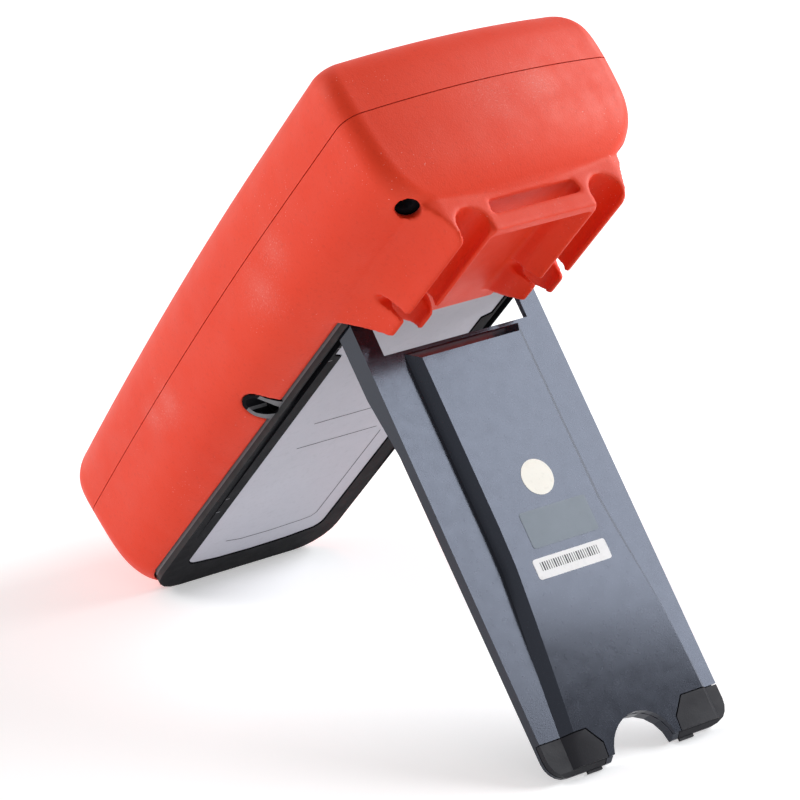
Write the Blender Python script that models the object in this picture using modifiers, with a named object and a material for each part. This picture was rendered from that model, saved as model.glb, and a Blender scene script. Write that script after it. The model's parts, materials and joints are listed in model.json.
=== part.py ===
"""Handheld component meter, leaning on its open tilt stand.

Everything is modelled in the meter's own frame: X across the width, Y from the
foot end to the head, Z out of the rear face. One empty leans that frame back, so
that the foot edge and the stand's nubs touch the ground plane at Z = 0.
"""
import math

import bmesh
import bpy
from mathutils import Matrix, Vector

MM = 0.001
GAP = 0.3 * MM
PRESS = 0.1 * MM
FAR = 60.0 * MM

# Driving sizes of the housing, its outline taken at the parting plane
Y_TOP = 207.6 * MM
Y_FOOT = -5.0 * MM
HEAD_HALF_WIDTH = 46.6 * MM
FOOT_HALF_WIDTH = 0.798 * HEAD_HALF_WIDTH
HINGE_Y = 0.6734 * Y_TOP
WIDEST_Y = HINGE_Y + 10.2 * MM
HEAD_TAPER = 0.4 * MM
DOME = 1.8
FOOT_BOW = 0.5
HEAD_CORNER = 6.0 * MM
FOOT_CORNER = 11.0 * MM

# Housing depth
PARTING_Z = -29.3 * MM
FRONT_Z_HEAD = -48.6 * MM
FRONT_Z_FOOT = -46.0 * MM
RED_WALL = 2.2 * MM
BLACK_WALL = 2.0 * MM
BLACK_DEPTH = RED_WALL + GAP
CAVITY_START = 2.0 * MM

# Rear face
FRAME_HALF_WIDTH = 0.6953 * HEAD_HALF_WIDTH
FRAME_Y_FOOT = -0.6 * MM
FRAME_CORNER = 11.0 * MM
FRAME_HEAD_CORNER = 3.0 * MM
FRAME_Z = 0.3 * MM
FRAME_THICKNESS = 5.4 * MM
POCKET_DEPTH = 3.9 * MM
RED_EDGE_HALF_WIDTH = FRAME_HALF_WIDTH - 0.3 * MM
FOOT_INSET = 4.4 * MM
HEAD_PAD_Z = 0.8 * MM
LABEL_TOP_Y = HINGE_Y - GAP
HINGE_NOTCH_Y = HINGE_Y + 5.5 * MM

# Tilt stand, measured from its hinge pin
HINGE_Z = -0.4 * MM
STAND_ANGLE = math.radians(80.6)
STAND_HALF_WIDTH = FRAME_HALF_WIDTH - 0.8 * MM
STAND_LENGTH = HINGE_Y - 5.0 * MM
STAND_FACE = 4.2 * MM
STAND_SKIN = 1.7 * MM
STAND_WALL = 2.1 * MM
STAND_EDGE = 1.0 * MM
STAND_CORNER = 6.0 * MM
STAND_LIP = 1.2 * MM
STAND_LIP_DROP = 1.6 * MM
ARM_INNER_X = STAND_HALF_WIDTH - 6.3 * MM
ARM_LENGTH = 10.9 * MM
ARM_HEEL = 2.8 * MM
FLANGE_DEEP = (0.148 * STAND_LENGTH, -2.6 * MM)
FLANGE_SHALLOW = (0.282 * STAND_LENGTH, 0.3 * MM)
PIN_RADIUS = 1.1 * MM
PIN_LENGTH = 2.4 * MM
LUG_WALL = 0.9 * MM
LUG_WIDTH = 2.7 * MM
LUG_FOOT_Z = -4.5 * MM
SWING_GAP = 0.35 * MM
PLATEAU_HEIGHT = 1.2 * MM
PLATEAU_START = 11.9 * MM
PLATEAU_SLOPE = 5.6 * MM
PLATEAU_END_SLOPE = 0.45
PLATEAU_HALF_TOP = STAND_HALF_WIDTH - 12.4 * MM
PLATEAU_HALF_FOOT = STAND_HALF_WIDTH - 6.8 * MM
PLATEAU_WIDEN_START = 0.49 * STAND_LENGTH
PLATEAU_WIDEN_END = 0.831 * STAND_LENGTH
PLATEAU_STEPS = 4
NOTCH_RADIUS = 11.0 * MM
NOTCH_CENTRE = STAND_LENGTH + 0.8 * MM
PAD_START = STAND_LENGTH - 10.2 * MM
PAD_INNER_X = NOTCH_RADIUS + 2.2 * MM
PAD_CHAMFER = 5.0 * MM
PAD_SHELF = 1.3 * MM
NUB_X = PAD_INNER_X + 3.2 * MM
NUB_WIDTH = 5.0 * MM
NUB_HEIGHT = 0.8 * MM
NUB_LIFT = 0.3 * MM

# Battery door, and the bay that the six cells fill
DOOR_HALF_WIDTH = FRAME_HALF_WIDTH - 7.7 * MM
DOOR_HEAD_HALF_WIDTH = FRAME_HALF_WIDTH - 4.6 * MM
DOOR_STEP_Y = HINGE_Y - 14.0 * MM
DOOR_STEP = 1.5 * MM
DOOR_Y0 = 12.0 * MM
DOOR_Y1 = LABEL_TOP_Y - GAP
DOOR_BOW = 1.6 * MM
DOOR_CORNER = 4.0 * MM
DOOR_HEAD_CORNER = 2.0 * MM
DOOR_THICKNESS = 2.0 * MM
BAY_HALF_WIDTH = DOOR_HALF_WIDTH - 0.9 * MM
BAY_Y0 = 17.0 * MM
BAY_Y1 = HINGE_Y - 11.2 * MM
BAY_WALL = 1.4 * MM
CELL_GAP = 0.4 * MM
CELL_RIB = 3.4 * MM
CELL_RADIUS = (BAY_HALF_WIDTH - 2 * GAP - (CELL_GAP + CELL_RIB) / 2) / 3
CELL_NUB = 0.9 * MM
CELL_NUB_RADIUS = 2.6 * MM
CELL_BEVEL = 0.5 * MM
CELL_STEPS = 12
CONTACT_ROOM = 5.2 * MM
CONTACT_PLATE = 0.6 * MM
CONTACT_BASE_RADIUS = 4.2 * MM
CONTACT_TIP_RADIUS = 2.2 * MM
CELL_LENGTH = (BAY_Y1 - BAY_Y0) / 2 - CONTACT_ROOM - CELL_NUB - GAP
BAY_DEPTH = DOOR_THICKNESS + 2 * CELL_RADIUS + 0.8 * MM
RIB_SETBACK = CONTACT_ROOM + 1.0 * MM

# Probe holders and strap bar
HOLDER_X = 0.4936 * HEAD_HALF_WIDTH
CHANNEL_RADIUS = 5.15 * MM
CHANNEL_Z = 7.2 * MM
MOUTH_HALF = 4.0 * MM
LIP_Z = 11.2 * MM
LIP_ROUND = 0.8 * MM
HOLDER_Y1 = Y_TOP - 8.1 * MM
HOLDER_END_ROUND = 4.2 * MM
HOLDER_CORNER = 9.0 * MM
HOLDER_INNER_X = HOLDER_X - 8.4 * MM
HOLDER_INNER_LIP_X = HOLDER_X - 5.7 * MM
HOLDER_OUTER_LIP_X = HOLDER_X + 5.8 * MM
HOLDER_OUTER_X = HOLDER_X + 14.2 * MM
HOLDER_ROOT_Z = -5.0 * MM
FINGER_TIP_Y = HINGE_Y + 12.4 * MM
FINGER_BASE = (HINGE_Y + 3.9 * MM, -0.6 * MM)
FINGER_ROUND = 1.6 * MM
SLOT_Y = HINGE_Y + 21.8 * MM
SLOT_LEAN = 1.2 * MM
SLOT_HALF = 1.4 * MM
SLOT_FLOOR_Z = 1.6 * MM
BAR_THICKNESS = 3.5 * MM
BAR_Z = (5.7 * MM, 10.8 * MM)
BAR_BITE = 3.0 * MM
FIELD_RISE_Z = 1.7 * MM
HINGE_NOTCH_X = ARM_INNER_X - 4.7 * MM
FIELD_STEP = 1.0 * MM

# Inlet in the left flank
JACK_Y = HINGE_Y - 42.0 * MM
JACK_Z = -4.2 * MM
JACK_BORE = 3.0 * MM
JACK_WELL = 2.4 * MM
JACK_MOUTH_X = FRAME_HALF_WIDTH - 0.2 * MM
JACK_RING_Z = -3.6 * MM
JACK_RING_RADIUS = 4.5 * MM
JACK_RING_X = FRAME_HALF_WIDTH - 2.9 * MM
JACK_BODY_HALF = 2.9 * MM
JACK_BODY_BACK = 1.2 * MM
JACK_OUTER_X = FRAME_HALF_WIDTH - 0.4 * MM
JACK_INNER_X = BAY_HALF_WIDTH + BAY_WALL + 0.4 * MM
JACK_PIN_RADIUS = 1.0 * MM
JACK_ROOM_Z = -10.0 * MM

# Housing screws
SCREW_TOP = (HEAD_HALF_WIDTH - 10.2 * MM, Y_TOP - 13.0 * MM)
SCREW_DOOR = (ARM_INNER_X - 7.3 * MM, HINGE_Y - 6.2 * MM)
SCREW_RADIUS = 1.3 * MM
SCREW_HEAD_RADIUS = 2.5 * MM
SCREW_HEAD = 1.8 * MM
SCREW_LENGTH = 20.0 * MM
SCREW_SEAT_Z = -16.0 * MM
SCREW_BORE_RADIUS = 2.8 * MM
BOSS_RADIUS = 3.7 * MM
BOSS_SETBACK = 0.5 * MM
BOSS_TOP_Z = -2.5 * MM
PORT_CENTRE = (HEAD_HALF_WIDTH - 9.9 * MM, Y_TOP - 12.0 * MM, -2.8 * MM)
PORT_AXIS = (0.5, 0.45, 0.74)
PORT_RADIUS = 3.5 * MM
PORT_REACH = 8.0 * MM
DOOR_SCREW_Y = HINGE_Y - 29.8 * MM
DOOR_SCREW_RADIUS = 1.1 * MM
DOOR_SCREW_LENGTH = 8.0 * MM
DOOR_SCREW_SEAT = 1.4 * MM

# Front panel, measured from the front face inwards
PANEL_INSET = 9.0 * MM
PANEL_THICKNESS = 2.2 * MM
PANEL_WALL = 3.0 * MM
WINDOW_SIDE = 15.6 * MM
WINDOW_WIDTH = 2 * (HEAD_HALF_WIDTH - WINDOW_SIDE)
WINDOW_HEIGHT = 0.2216 * Y_TOP
WINDOW_Y = SCREW_DOOR[1] + BOSS_RADIUS + 1.7 * MM + WINDOW_HEIGHT / 2
WINDOW_THICKNESS = 1.4 * MM
WINDOW_LEDGE = 2.0 * MM
WINDOW_CORNER = 2.8 * MM
LCD_MARGIN = 1.0 * MM
LCD_THICKNESS = 3.0 * MM
LCD_HOLDER_WALL = 4.0 * MM
KEY_COLUMN = 0.4506 * HEAD_HALF_WIDTH
KEY_COLUMNS = (-KEY_COLUMN, 0.0, KEY_COLUMN)
KEY_PITCH = 0.0723 * Y_TOP
KEYS_BELOW_SCREWS = 14.6 * MM
KEY_ROWS = tuple(SCREW_DOOR[1] - KEYS_BELOW_SCREWS - row * KEY_PITCH for row in range(3))
KEY_SIZE = (0.667 * KEY_COLUMN, 0.533 * KEY_PITCH)
KEY_CORNER = 2.0 * MM
KEY_PROUD = 1.4 * MM
KEY_FLANGE = 1.2 * MM
KEY_FLANGE_REACH = 1.5 * MM
KEY_TRAVEL = 1.0 * MM
KEY_STEM_RADIUS = 2.6 * MM
MAT_THICKNESS = 1.2 * MM
MAT_MARGIN = 7.0 * MM
SOCKET_X = 0.4077 * HEAD_HALF_WIDTH
SOCKET_XS = (-SOCKET_X, 0.0, SOCKET_X)
SOCKET_Y = 0.1445 * Y_TOP
SOCKET_HOLE = 5.0 * MM
SOCKET_OUTER = 3.4 * MM
SOCKET_INNER = 2.1 * MM
SOCKET_FLANGE = 1.4 * MM
SOCKET_FLANGE_THICKNESS = 1.5 * MM
SLOT_CONTACT_Y = 0.2505 * Y_TOP
SLOT_CONTACT_X = SOCKET_X / 2
SLOT_OPENING = (13.0 * MM, 1.8 * MM)
LEAF = 0.5 * MM

# Board
BOARD_Z0 = -33.0 * MM
BOARD_THICKNESS = 1.6 * MM
BOARD_HALF_WIDTH = FRAME_HALF_WIDTH + 0.6 * MM
BOARD_Y0 = 18.0 * MM
BOARD_Y1 = Y_TOP - 18.6 * MM
POST_RADIUS = 2.4 * MM
POST_Y = 0.318 * Y_TOP
POST_INSET = 4.0 * MM

# Steps round the outline
FOOT_STEPS = 2
CORNER_STEPS = 4
SIDE_STEPS = 5
DOME_STEPS = 3

# Share of the side inset, inset of the head end, and height, parting plane to rear face
REAR_PROFILE = (
    (0.00, 0.0, PARTING_Z + GAP / 2), (0.02, 0.3 * MM, -24.0 * MM), (0.05, 0.6 * MM, -19.0 * MM),
    (0.115, 1.2 * MM, -14.5 * MM), (0.235, 2.3 * MM, -10.3 * MM), (0.42, 3.7 * MM, -6.8 * MM),
    (0.64, 5.2 * MM, -4.0 * MM), (0.86, 6.3 * MM, -2.3 * MM), (1.00, 6.8 * MM, -1.7 * MM),
    (1.30, 8.2 * MM, HEAD_PAD_Z),
)
# Inset and height at the head, from the parting plane to the front face
FRONT_PROFILE = (
    (0.0, PARTING_Z - GAP / 2), (0.0, -36.0 * MM), (0.6 * MM, -41.0 * MM),
    (2.4 * MM, -45.0 * MM), (5.2 * MM, -47.6 * MM), (8.6 * MM, FRONT_Z_HEAD),
)


def clear_scene():
    for old in list(bpy.data.objects):
        bpy.data.objects.remove(old, do_unlink=True)


def new_collection(name):
    group = bpy.data.collections.new(name)
    bpy.context.scene.collection.children.link(group)
    return group


def make_material(name, colour, roughness, metallic=0.0):
    material = bpy.data.materials.new(name)
    material.use_nodes = True
    shader = material.node_tree.nodes["Principled BSDF"]
    shader.inputs["Base Color"].default_value = (*colour, 1.0)
    shader.inputs["Roughness"].default_value = roughness
    shader.inputs["Metallic"].default_value = metallic
    material.diffuse_color = (*colour, 1.0)
    return material


LOOKS = {
    "red": ((0.72, 0.07, 0.04), 0.75, 0.0),
    "black": ((0.02, 0.02, 0.024), 0.35, 0.0),
    "grey": ((0.50, 0.50, 0.56), 0.40, 0.0),
    "rubber": ((0.04, 0.04, 0.045), 0.70, 0.0),
    "clear": ((0.12, 0.14, 0.15), 0.08, 0.0),
    "glass": ((0.35, 0.40, 0.33), 0.15, 0.0),
    "board": ((0.02, 0.16, 0.07), 0.45, 0.0),
    "steel": ((0.60, 0.60, 0.62), 0.30, 1.0),
    "brass": ((0.75, 0.55, 0.22), 0.30, 1.0),
    "cell": ((0.20, 0.22, 0.28), 0.35, 0.3),
    "key": ((0.16, 0.16, 0.18), 0.55, 0.0),
    "power": ((0.65, 0.10, 0.06), 0.50, 0.0),
}


class Builder:
    """Keeps the two collections and the empties that the pieces hang on."""

    def __init__(self):
        self.parts = new_collection("lcr_meter")
        self.cutters = new_collection("cutters")
        self.meter = self.empty("meter_frame")
        self.hinge = self.empty("stand_hinge", self.meter)
        self.front = self.empty("front_panel_frame", self.meter)
        self.count = 0

    def empty(self, name, parent=None):
        item = bpy.data.objects.new(name, None)
        item.empty_display_size = 0.01
        item.parent = parent
        self.parts.objects.link(item)
        return item

    def part(self, item, name, look, parent=None):
        """Name a finished solid, give it its material and hang it on its empty."""
        item.name = name
        item.data.name = name
        self.cutters.objects.unlink(item)
        self.parts.objects.link(item)
        item.hide_render = False
        item.display_type = "TEXTURED"
        item.data.materials.clear()
        item.data.materials.append(make_material(name, *LOOKS[look]))
        item.parent = parent or self.meter
        return item

    def tool(self, mesh, parent=None):
        """A solid that starts as a cutter, until part() names it."""
        self.count += 1
        item = bpy.data.objects.new("tool_%03d" % self.count, mesh)
        self.cutters.objects.link(item)
        item.hide_render = True
        item.display_type = "WIRE"
        item.parent = parent or self.meter
        return item


def combine(target, other, operation):
    step = target.modifiers.new(operation.lower(), "BOOLEAN")
    step.operation = operation
    step.solver = "EXACT"
    step.object = other


def cut(target, *others):
    for other in others:
        combine(target, other, "DIFFERENCE")


def join(target, *others):
    for other in others:
        combine(target, other, "UNION")


def common(target, *others):
    for other in others:
        combine(target, other, "INTERSECT")


def bake(item):
    """Turn an object's modifiers into plain mesh data, in its own frame."""
    graph = bpy.context.evaluated_depsgraph_get()
    mesh = bpy.data.meshes.new_from_object(item.evaluated_get(graph))
    item.modifiers.clear()
    item.data = mesh
    return item


def smooth(item, angle=math.radians(35)):
    """Shade a solid smooth, with its sharper edges kept."""
    work = bmesh.new()
    work.from_mesh(item.data)
    for face in work.faces:
        face.smooth = True
    for edge in work.edges:
        edge.smooth = len(edge.link_faces) == 2 and edge.calc_face_angle() < angle
    work.to_mesh(item.data)
    work.free()
    return item


def mesh_from(work):
    bmesh.ops.recalc_face_normals(work, faces=work.faces)
    mesh = bpy.data.meshes.new("solid")
    work.to_mesh(mesh)
    work.free()
    return mesh


def box(build, low, high, parent=None):
    """A block between two corners."""
    work = bmesh.new()
    bmesh.ops.create_cube(work, size=1.0)
    size = [b - a for a, b in zip(low, high)]
    centre = [(a + b) / 2 for a, b in zip(low, high)]
    bmesh.ops.scale(work, vec=size, verts=work.verts)
    bmesh.ops.translate(work, vec=centre, verts=work.verts)
    return build.tool(mesh_from(work), parent)


def rod(build, start, end, radius, steps=16, parent=None, end_radius=None):
    """A cylinder or cone frustum between two points."""
    start, end = Vector(start), Vector(end)
    work = bmesh.new()
    last = radius if end_radius is None else end_radius
    bmesh.ops.create_cone(
        work, cap_ends=True, segments=steps, radius1=radius, radius2=last,
        depth=(end - start).length)
    turn = (end - start).to_track_quat("Z", "Y").to_matrix().to_4x4()
    turn = Matrix.Translation((start + end) / 2) @ turn
    bmesh.ops.transform(work, matrix=turn, verts=work.verts)
    return build.tool(mesh_from(work), parent)


# Where a flat outline's own axes point: plan (X, Y), side (Y, Z) and end (X, Z)
PLANES = {
    "plan": Matrix(((1, 0, 0), (0, 1, 0), (0, 0, 1))),
    "side": Matrix(((0, 0, 1), (1, 0, 0), (0, 1, 0))),
    "end": Matrix(((1, 0, 0), (0, 0, -1), (0, 1, 0))),
}


def plate(build, outline, low, high, plane="plan", parent=None):
    """A flat outline, extruded between two heights along its plane's normal."""
    curve = bpy.data.curves.new("outline", "CURVE")
    curve.dimensions = "2D"
    curve.fill_mode = "BOTH"
    curve.extrude = (high - low) / 2
    spline = curve.splines.new("POLY")
    spline.points.add(len(outline) - 1)
    for point, (a, b) in zip(spline.points, outline):
        point.co = (a, b, 0.0, 1.0)
    spline.use_cyclic_u = True
    drawn = bpy.data.objects.new("outline", curve)
    bpy.context.scene.collection.objects.link(drawn)
    graph = bpy.context.evaluated_depsgraph_get()
    mesh = bpy.data.meshes.new_from_object(drawn.evaluated_get(graph))
    bpy.data.objects.remove(drawn)
    work = bmesh.new()
    work.from_mesh(mesh)
    bmesh.ops.remove_doubles(work, verts=work.verts, dist=1e-6)
    bmesh.ops.translate(work, vec=(0, 0, (low + high) / 2), verts=work.verts)
    turn = PLANES[plane]
    bmesh.ops.transform(work, matrix=turn.to_4x4(), verts=work.verts)
    return build.tool(mesh_from(work), parent)


def arc(centre, radius, start, end, steps):
    """Points on an arc, angles in degrees, both ends included."""
    points = []
    for i in range(steps + 1):
        angle = math.radians(start + (end - start) * i / steps)
        points.append((centre[0] + radius * math.cos(angle), centre[1] + radius * math.sin(angle)))
    return points


def rounded(half_x, half_y, radius, centre=(0.0, 0.0), steps=2):
    """Outline of a rectangle with round corners."""
    points = []
    for turn, (sx, sy) in enumerate(((1, 1), (-1, 1), (-1, -1), (1, -1))):
        middle = (centre[0] + sx * (half_x - radius), centre[1] + sy * (half_y - radius))
        points += arc(middle, radius, 90 * turn, 90 * turn + 90, steps)
    return points


def half_width(y):
    """Half width of the housing at the parting plane."""
    share = min(max(y / WIDEST_Y, 0.0), 1.0)
    width = FOOT_HALF_WIDTH + (HEAD_HALF_WIDTH - FOOT_HALF_WIDTH) * (1 - (1 - share) ** 1.75)
    past = max(y - WIDEST_Y, 0.0) / (Y_TOP - WIDEST_Y)
    return width - HEAD_TAPER * past ** 2


def outline_half(side, top, foot, share=0.0):
    """Right half of the plan outline, foot to head, drawn in by the given insets.

    share blends the side towards the straight edge of the rear opening.
    """
    y_top = Y_TOP - top
    y_foot = Y_FOOT + foot

    def edge(y):
        width = half_width(y)
        return width - share * (width - RED_EDGE_HALF_WIDTH) - side

    def dome(x):
        return y_top - DOME * x * x

    def bow(x):
        return y_foot + FOOT_BOW * x * x

    foot_x = edge(y_foot + FOOT_CORNER) - FOOT_CORNER
    foot_y = bow(foot_x) + FOOT_CORNER
    head_x = edge(y_top - HEAD_CORNER) - HEAD_CORNER
    head_y = dome(head_x) - HEAD_CORNER
    points = [(foot_x * i / FOOT_STEPS, bow(foot_x * i / FOOT_STEPS)) for i in range(FOOT_STEPS)]
    for i in range(CORNER_STEPS + 1):
        angle = math.radians(-90 + 90 * i / CORNER_STEPS)
        grow = (edge(foot_y) - foot_x) * math.cos(angle)
        points.append((foot_x + grow, foot_y + FOOT_CORNER * math.sin(angle)))
    for i in range(1, SIDE_STEPS):
        y = foot_y + (head_y - foot_y) * i / SIDE_STEPS
        points.append((edge(y), y))
    for i in range(CORNER_STEPS + 1):
        angle = math.radians(90 * i / CORNER_STEPS)
        grow = (edge(head_y) - head_x) * math.cos(angle)
        points.append((head_x + grow, head_y + HEAD_CORNER * math.sin(angle)))
    for i in range(1, DOME_STEPS + 1):
        x = head_x * (1 - i / DOME_STEPS)
        points.append((x, dome(x)))
    return points


def whole(half):
    """Mirror a half outline that starts and ends on the centre line."""
    return half + [(-x, y) for x, y in reversed(half[1:-1])]


def mirrored(right):
    """Close a right half outline that stays off the centre line."""
    return right + [(-x, y) for x, y in reversed(right)]


def loft(build, rings, height=None, parent=None):
    """Skin between outlines of equal count; each ring is (outline, height)."""
    work = bmesh.new()
    rows = []
    for outline, level in rings:
        lift = height or (lambda y, z: z)
        rows.append([work.verts.new((x, y, lift(y, level))) for x, y in outline])
    for lower, upper in zip(rows, rows[1:]):
        for i in range(len(lower)):
            j = (i + 1) % len(lower)
            work.faces.new((lower[i], lower[j], upper[j], upper[i]))
    bmesh.ops.triangulate(work, faces=work.faces)
    work.faces.new(rows[0])
    work.faces.new(rows[-1])
    return build.tool(mesh_from(work), parent)


def profile_normals(points):
    """Inward normals of an (inset, height) profile, at each of its points."""
    normals = []
    for i in range(len(points)):
        before = points[max(i - 1, 0)]
        after = points[min(i + 1, len(points) - 1)]
        run = (after[0] - before[0], after[1] - before[1])
        size = math.hypot(*run)
        normals.append((abs(run[1]) / size, -run[0] / size))
    return normals


def rear_skin(build, depth, open_end):
    """Solid of the rear half, its surface moved in by depth."""
    spread = HEAD_HALF_WIDTH - RED_EDGE_HALF_WIDTH
    shape = [(share * spread, z) for share, top, z in REAR_PROFILE]
    rings = []
    for (share, top, z), normal in zip(REAR_PROFILE, profile_normals(shape)):
        inward = depth * normal[0]
        level = z + depth * normal[1]
        if z == REAR_PROFILE[0][2]:
            level = z - (CAVITY_START if open_end else 0.0)
        if z == HEAD_PAD_Z:
            inward, level = depth / 2, HEAD_PAD_Z - depth
        foot = FOOT_INSET * share
        rings.append((whole(outline_half(inward, top + inward, foot + inward, share)), level))
    return loft(build, rings)


def front_height(y, z):
    """The front half grows deeper towards the head."""
    foot_share = (FRONT_Z_FOOT - PARTING_Z) / (FRONT_Z_HEAD - PARTING_Z)
    share = foot_share + (1 - foot_share) * y / Y_TOP
    return PARTING_Z + (z - PARTING_Z) * share


def front_skin(build, depth, open_end):
    """Solid of the front half, its surface moved in by depth."""
    rings = []
    for (inset, z), normal in zip(FRONT_PROFILE, profile_normals(FRONT_PROFILE)):
        inward = inset + depth * normal[0]
        level = z + depth * abs(normal[1])
        if z == FRONT_PROFILE[0][1]:
            level = z + (CAVITY_START if open_end else 0.0)
        if z == FRONT_Z_HEAD:
            inward, level = inset + depth / 2, z + depth
        rings.append((whole(outline_half(inward, inward, inward)), level))
    return loft(build, rings, front_height)


def frame_outline(grow, head_y):
    """Right edge of the black frame, or of the red skin's opening when grown."""
    half = FRAME_HALF_WIDTH + grow
    foot = FRAME_Y_FOOT - grow
    corner = FRAME_CORNER + grow
    head_corner = FRAME_HEAD_CORNER + grow
    right = arc((half - corner, foot + corner), corner, -90, 0, 5)
    return right + arc((half - head_corner, head_y - head_corner), head_corner, 0, 90, 3)


def rear_opening(grow):
    """Outline of the red skin's opening: straight at the grey panel, higher at the hinges."""
    right = frame_outline(grow, HINGE_NOTCH_Y)
    right += [(HINGE_NOTCH_X + FIELD_STEP, HINGE_NOTCH_Y), (HINGE_NOTCH_X, LABEL_TOP_Y)]
    return mirrored(right)


def holder_section():
    """End outline of one probe holder with its keyhole channel, inner side first."""
    half_angle = math.degrees(math.asin(MOUTH_HALF / CHANNEL_RADIUS))
    points = [(HOLDER_INNER_X, HOLDER_ROOT_Z), (HOLDER_INNER_X + 0.15 * MM, FIELD_RISE_Z)]
    points += [(HOLDER_INNER_X + 0.6 * MM, BAR_Z[0])]
    points += [(HOLDER_INNER_LIP_X, LIP_Z - LIP_ROUND), (HOLDER_INNER_LIP_X + LIP_ROUND, LIP_Z)]
    points += [(HOLDER_X - MOUTH_HALF - LIP_ROUND, LIP_Z)]
    points += arc((HOLDER_X, CHANNEL_Z), CHANNEL_RADIUS, 90 + half_angle, 450 - half_angle, 14)
    points += [(HOLDER_X + MOUTH_HALF + LIP_ROUND, LIP_Z)]
    points += [(HOLDER_OUTER_LIP_X - LIP_ROUND, LIP_Z), (HOLDER_OUTER_LIP_X, LIP_Z - LIP_ROUND)]
    points += flank_fillet()
    return points


def flank_fillet():
    """The outer side of a holder flows into the flank in a hollow curve."""
    start = Vector((HOLDER_OUTER_LIP_X, LIP_Z - LIP_ROUND))
    pull = Vector((HOLDER_OUTER_LIP_X + 1.6 * MM, 2.0 * MM))
    end = Vector((HOLDER_OUTER_X, HOLDER_ROOT_Z))
    points = []
    for i in range(1, 6):
        t = i / 5
        point = start * (1 - t) ** 2 + pull * 2 * t * (1 - t) + end * t * t
        points.append((point.x, point.y))
    return points


def holder_side():
    """Side outline of a holder: rounded end, the slot of its finger, and the finger's slant."""
    above = LIP_Z + GAP
    below = HOLDER_ROOT_Z - 1 * MM
    middle = HOLDER_Y1 - HOLDER_END_ROUND
    points = [FINGER_BASE, (FINGER_BASE[0] - 4 * MM, below), (HOLDER_Y1, below)]
    points += arc((middle, LIP_Z - HOLDER_END_ROUND), HOLDER_END_ROUND, 0, 75, 4)
    points += [(middle - 0.4 * MM, above), (SLOT_Y + 2.8 * SLOT_HALF, above)]
    points += arc((SLOT_Y + 2 * SLOT_HALF, LIP_Z - SLOT_HALF), SLOT_HALF, 75, 180, 3)
    points += arc((SLOT_Y - SLOT_LEAN, SLOT_FLOOR_Z + SLOT_HALF), SLOT_HALF, 0, -180, 6)
    points += arc((SLOT_Y - 2 * SLOT_HALF, LIP_Z - SLOT_HALF), SLOT_HALF, 0, 105, 3)
    points += [(SLOT_Y - 2.8 * SLOT_HALF, above), (FINGER_TIP_Y + 1.5 * FINGER_ROUND, above)]
    points += arc((FINGER_TIP_Y + FINGER_ROUND, LIP_Z - FINGER_ROUND), FINGER_ROUND, 105, 150, 2)
    return points


def build_holder(build, side):
    """One probe holder: keyhole section, cut to its side outline and rounded in plan."""
    section = [(side * x, z) for x, z in holder_section()]
    holder = plate(build, section, -HOLDER_Y1 - 1 * MM, -(FINGER_BASE[0] - 6 * MM), "end")
    low, high = sorted((side * (HOLDER_INNER_X - 2 * MM), side * (HOLDER_OUTER_X + 2 * MM)))
    edge = HOLDER_OUTER_X + 1 * MM
    corner = arc((edge - HOLDER_CORNER, HOLDER_Y1 + PRESS - HOLDER_CORNER), HOLDER_CORNER, 90, 0, 4)
    plan = [(HOLDER_INNER_X - 2 * MM, FINGER_BASE[0] - 8 * MM), (HOLDER_INNER_X - 2 * MM, HOLDER_Y1 + PRESS)]
    plan += corner + [(edge, FINGER_BASE[0] - 8 * MM)]
    keep = plate(build, [(side * x, y) for x, y in plan], 2 * HOLDER_ROOT_Z, 2 * LIP_Z)
    common(holder, plate(build, holder_side(), low, high, "side"), keep)
    return bake(holder)


def jack_window(build, grow):
    """U-shaped block round the inlet, open to the rear edge."""
    radius = JACK_RING_RADIUS + grow
    shape = arc((JACK_Y, JACK_RING_Z), radius, 180, 360, 10)
    shape += [(JACK_Y + radius, 3 * MM), (JACK_Y - radius, 3 * MM)]
    return plate(build, shape, -half_width(JACK_Y) - 2 * MM, -JACK_RING_X + grow, "side")


def shoulder_port(build, side, radius):
    """Bore for the head screw's hole in the shoulder."""
    centre = Vector((side * PORT_CENTRE[0], PORT_CENTRE[1], PORT_CENTRE[2]))
    reach = Vector((side * PORT_AXIS[0], PORT_AXIS[1], PORT_AXIS[2])) * PORT_REACH
    return rod(build, centre - reach, centre + reach, radius, 20)


def build_rear_overmould(build):
    skin = rear_skin(build, 0.0, False)
    end_y = HOLDER_Y1 - 0.05 * MM
    start_y = LABEL_TOP_Y - 1 * MM
    field = [(start_y, -1 * MM), (end_y, -1 * MM), (end_y, FIELD_RISE_Z), (start_y, HEAD_PAD_Z - 0.2 * MM)]
    join(skin, plate(build, field, -HOLDER_X, HOLDER_X, "side"))
    for side in (-1, 1):
        join(skin, build_holder(build, side))
    reach = HOLDER_INNER_X + BAR_BITE
    bar = box(build, (-reach, HOLDER_Y1 - BAR_THICKNESS, BAR_Z[0]), (reach, end_y, BAR_Z[1]))
    soften(bar, 0.6 * MM)
    join(skin, bar)
    opening = plate(build, rear_opening(GAP), -12 * MM, 20 * MM)
    cut(skin, rear_skin(build, RED_WALL, True), opening)
    cut(skin, jack_window(build, GAP))
    for side in (-1, 1):
        cut(skin, swept_hinge(build, side, SWING_GAP, -10 * MM))
        cut(skin, shoulder_port(build, side, PORT_RADIUS))
    bake(skin)
    return build.part(smooth(skin), "rear_overmould", "red")


def soften(item, width):
    """Round a block's edges."""
    step = item.modifiers.new("edges", "BEVEL")
    step.width = width
    step.segments = 2
    step.limit_method = "NONE"
    return bake(item)


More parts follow.
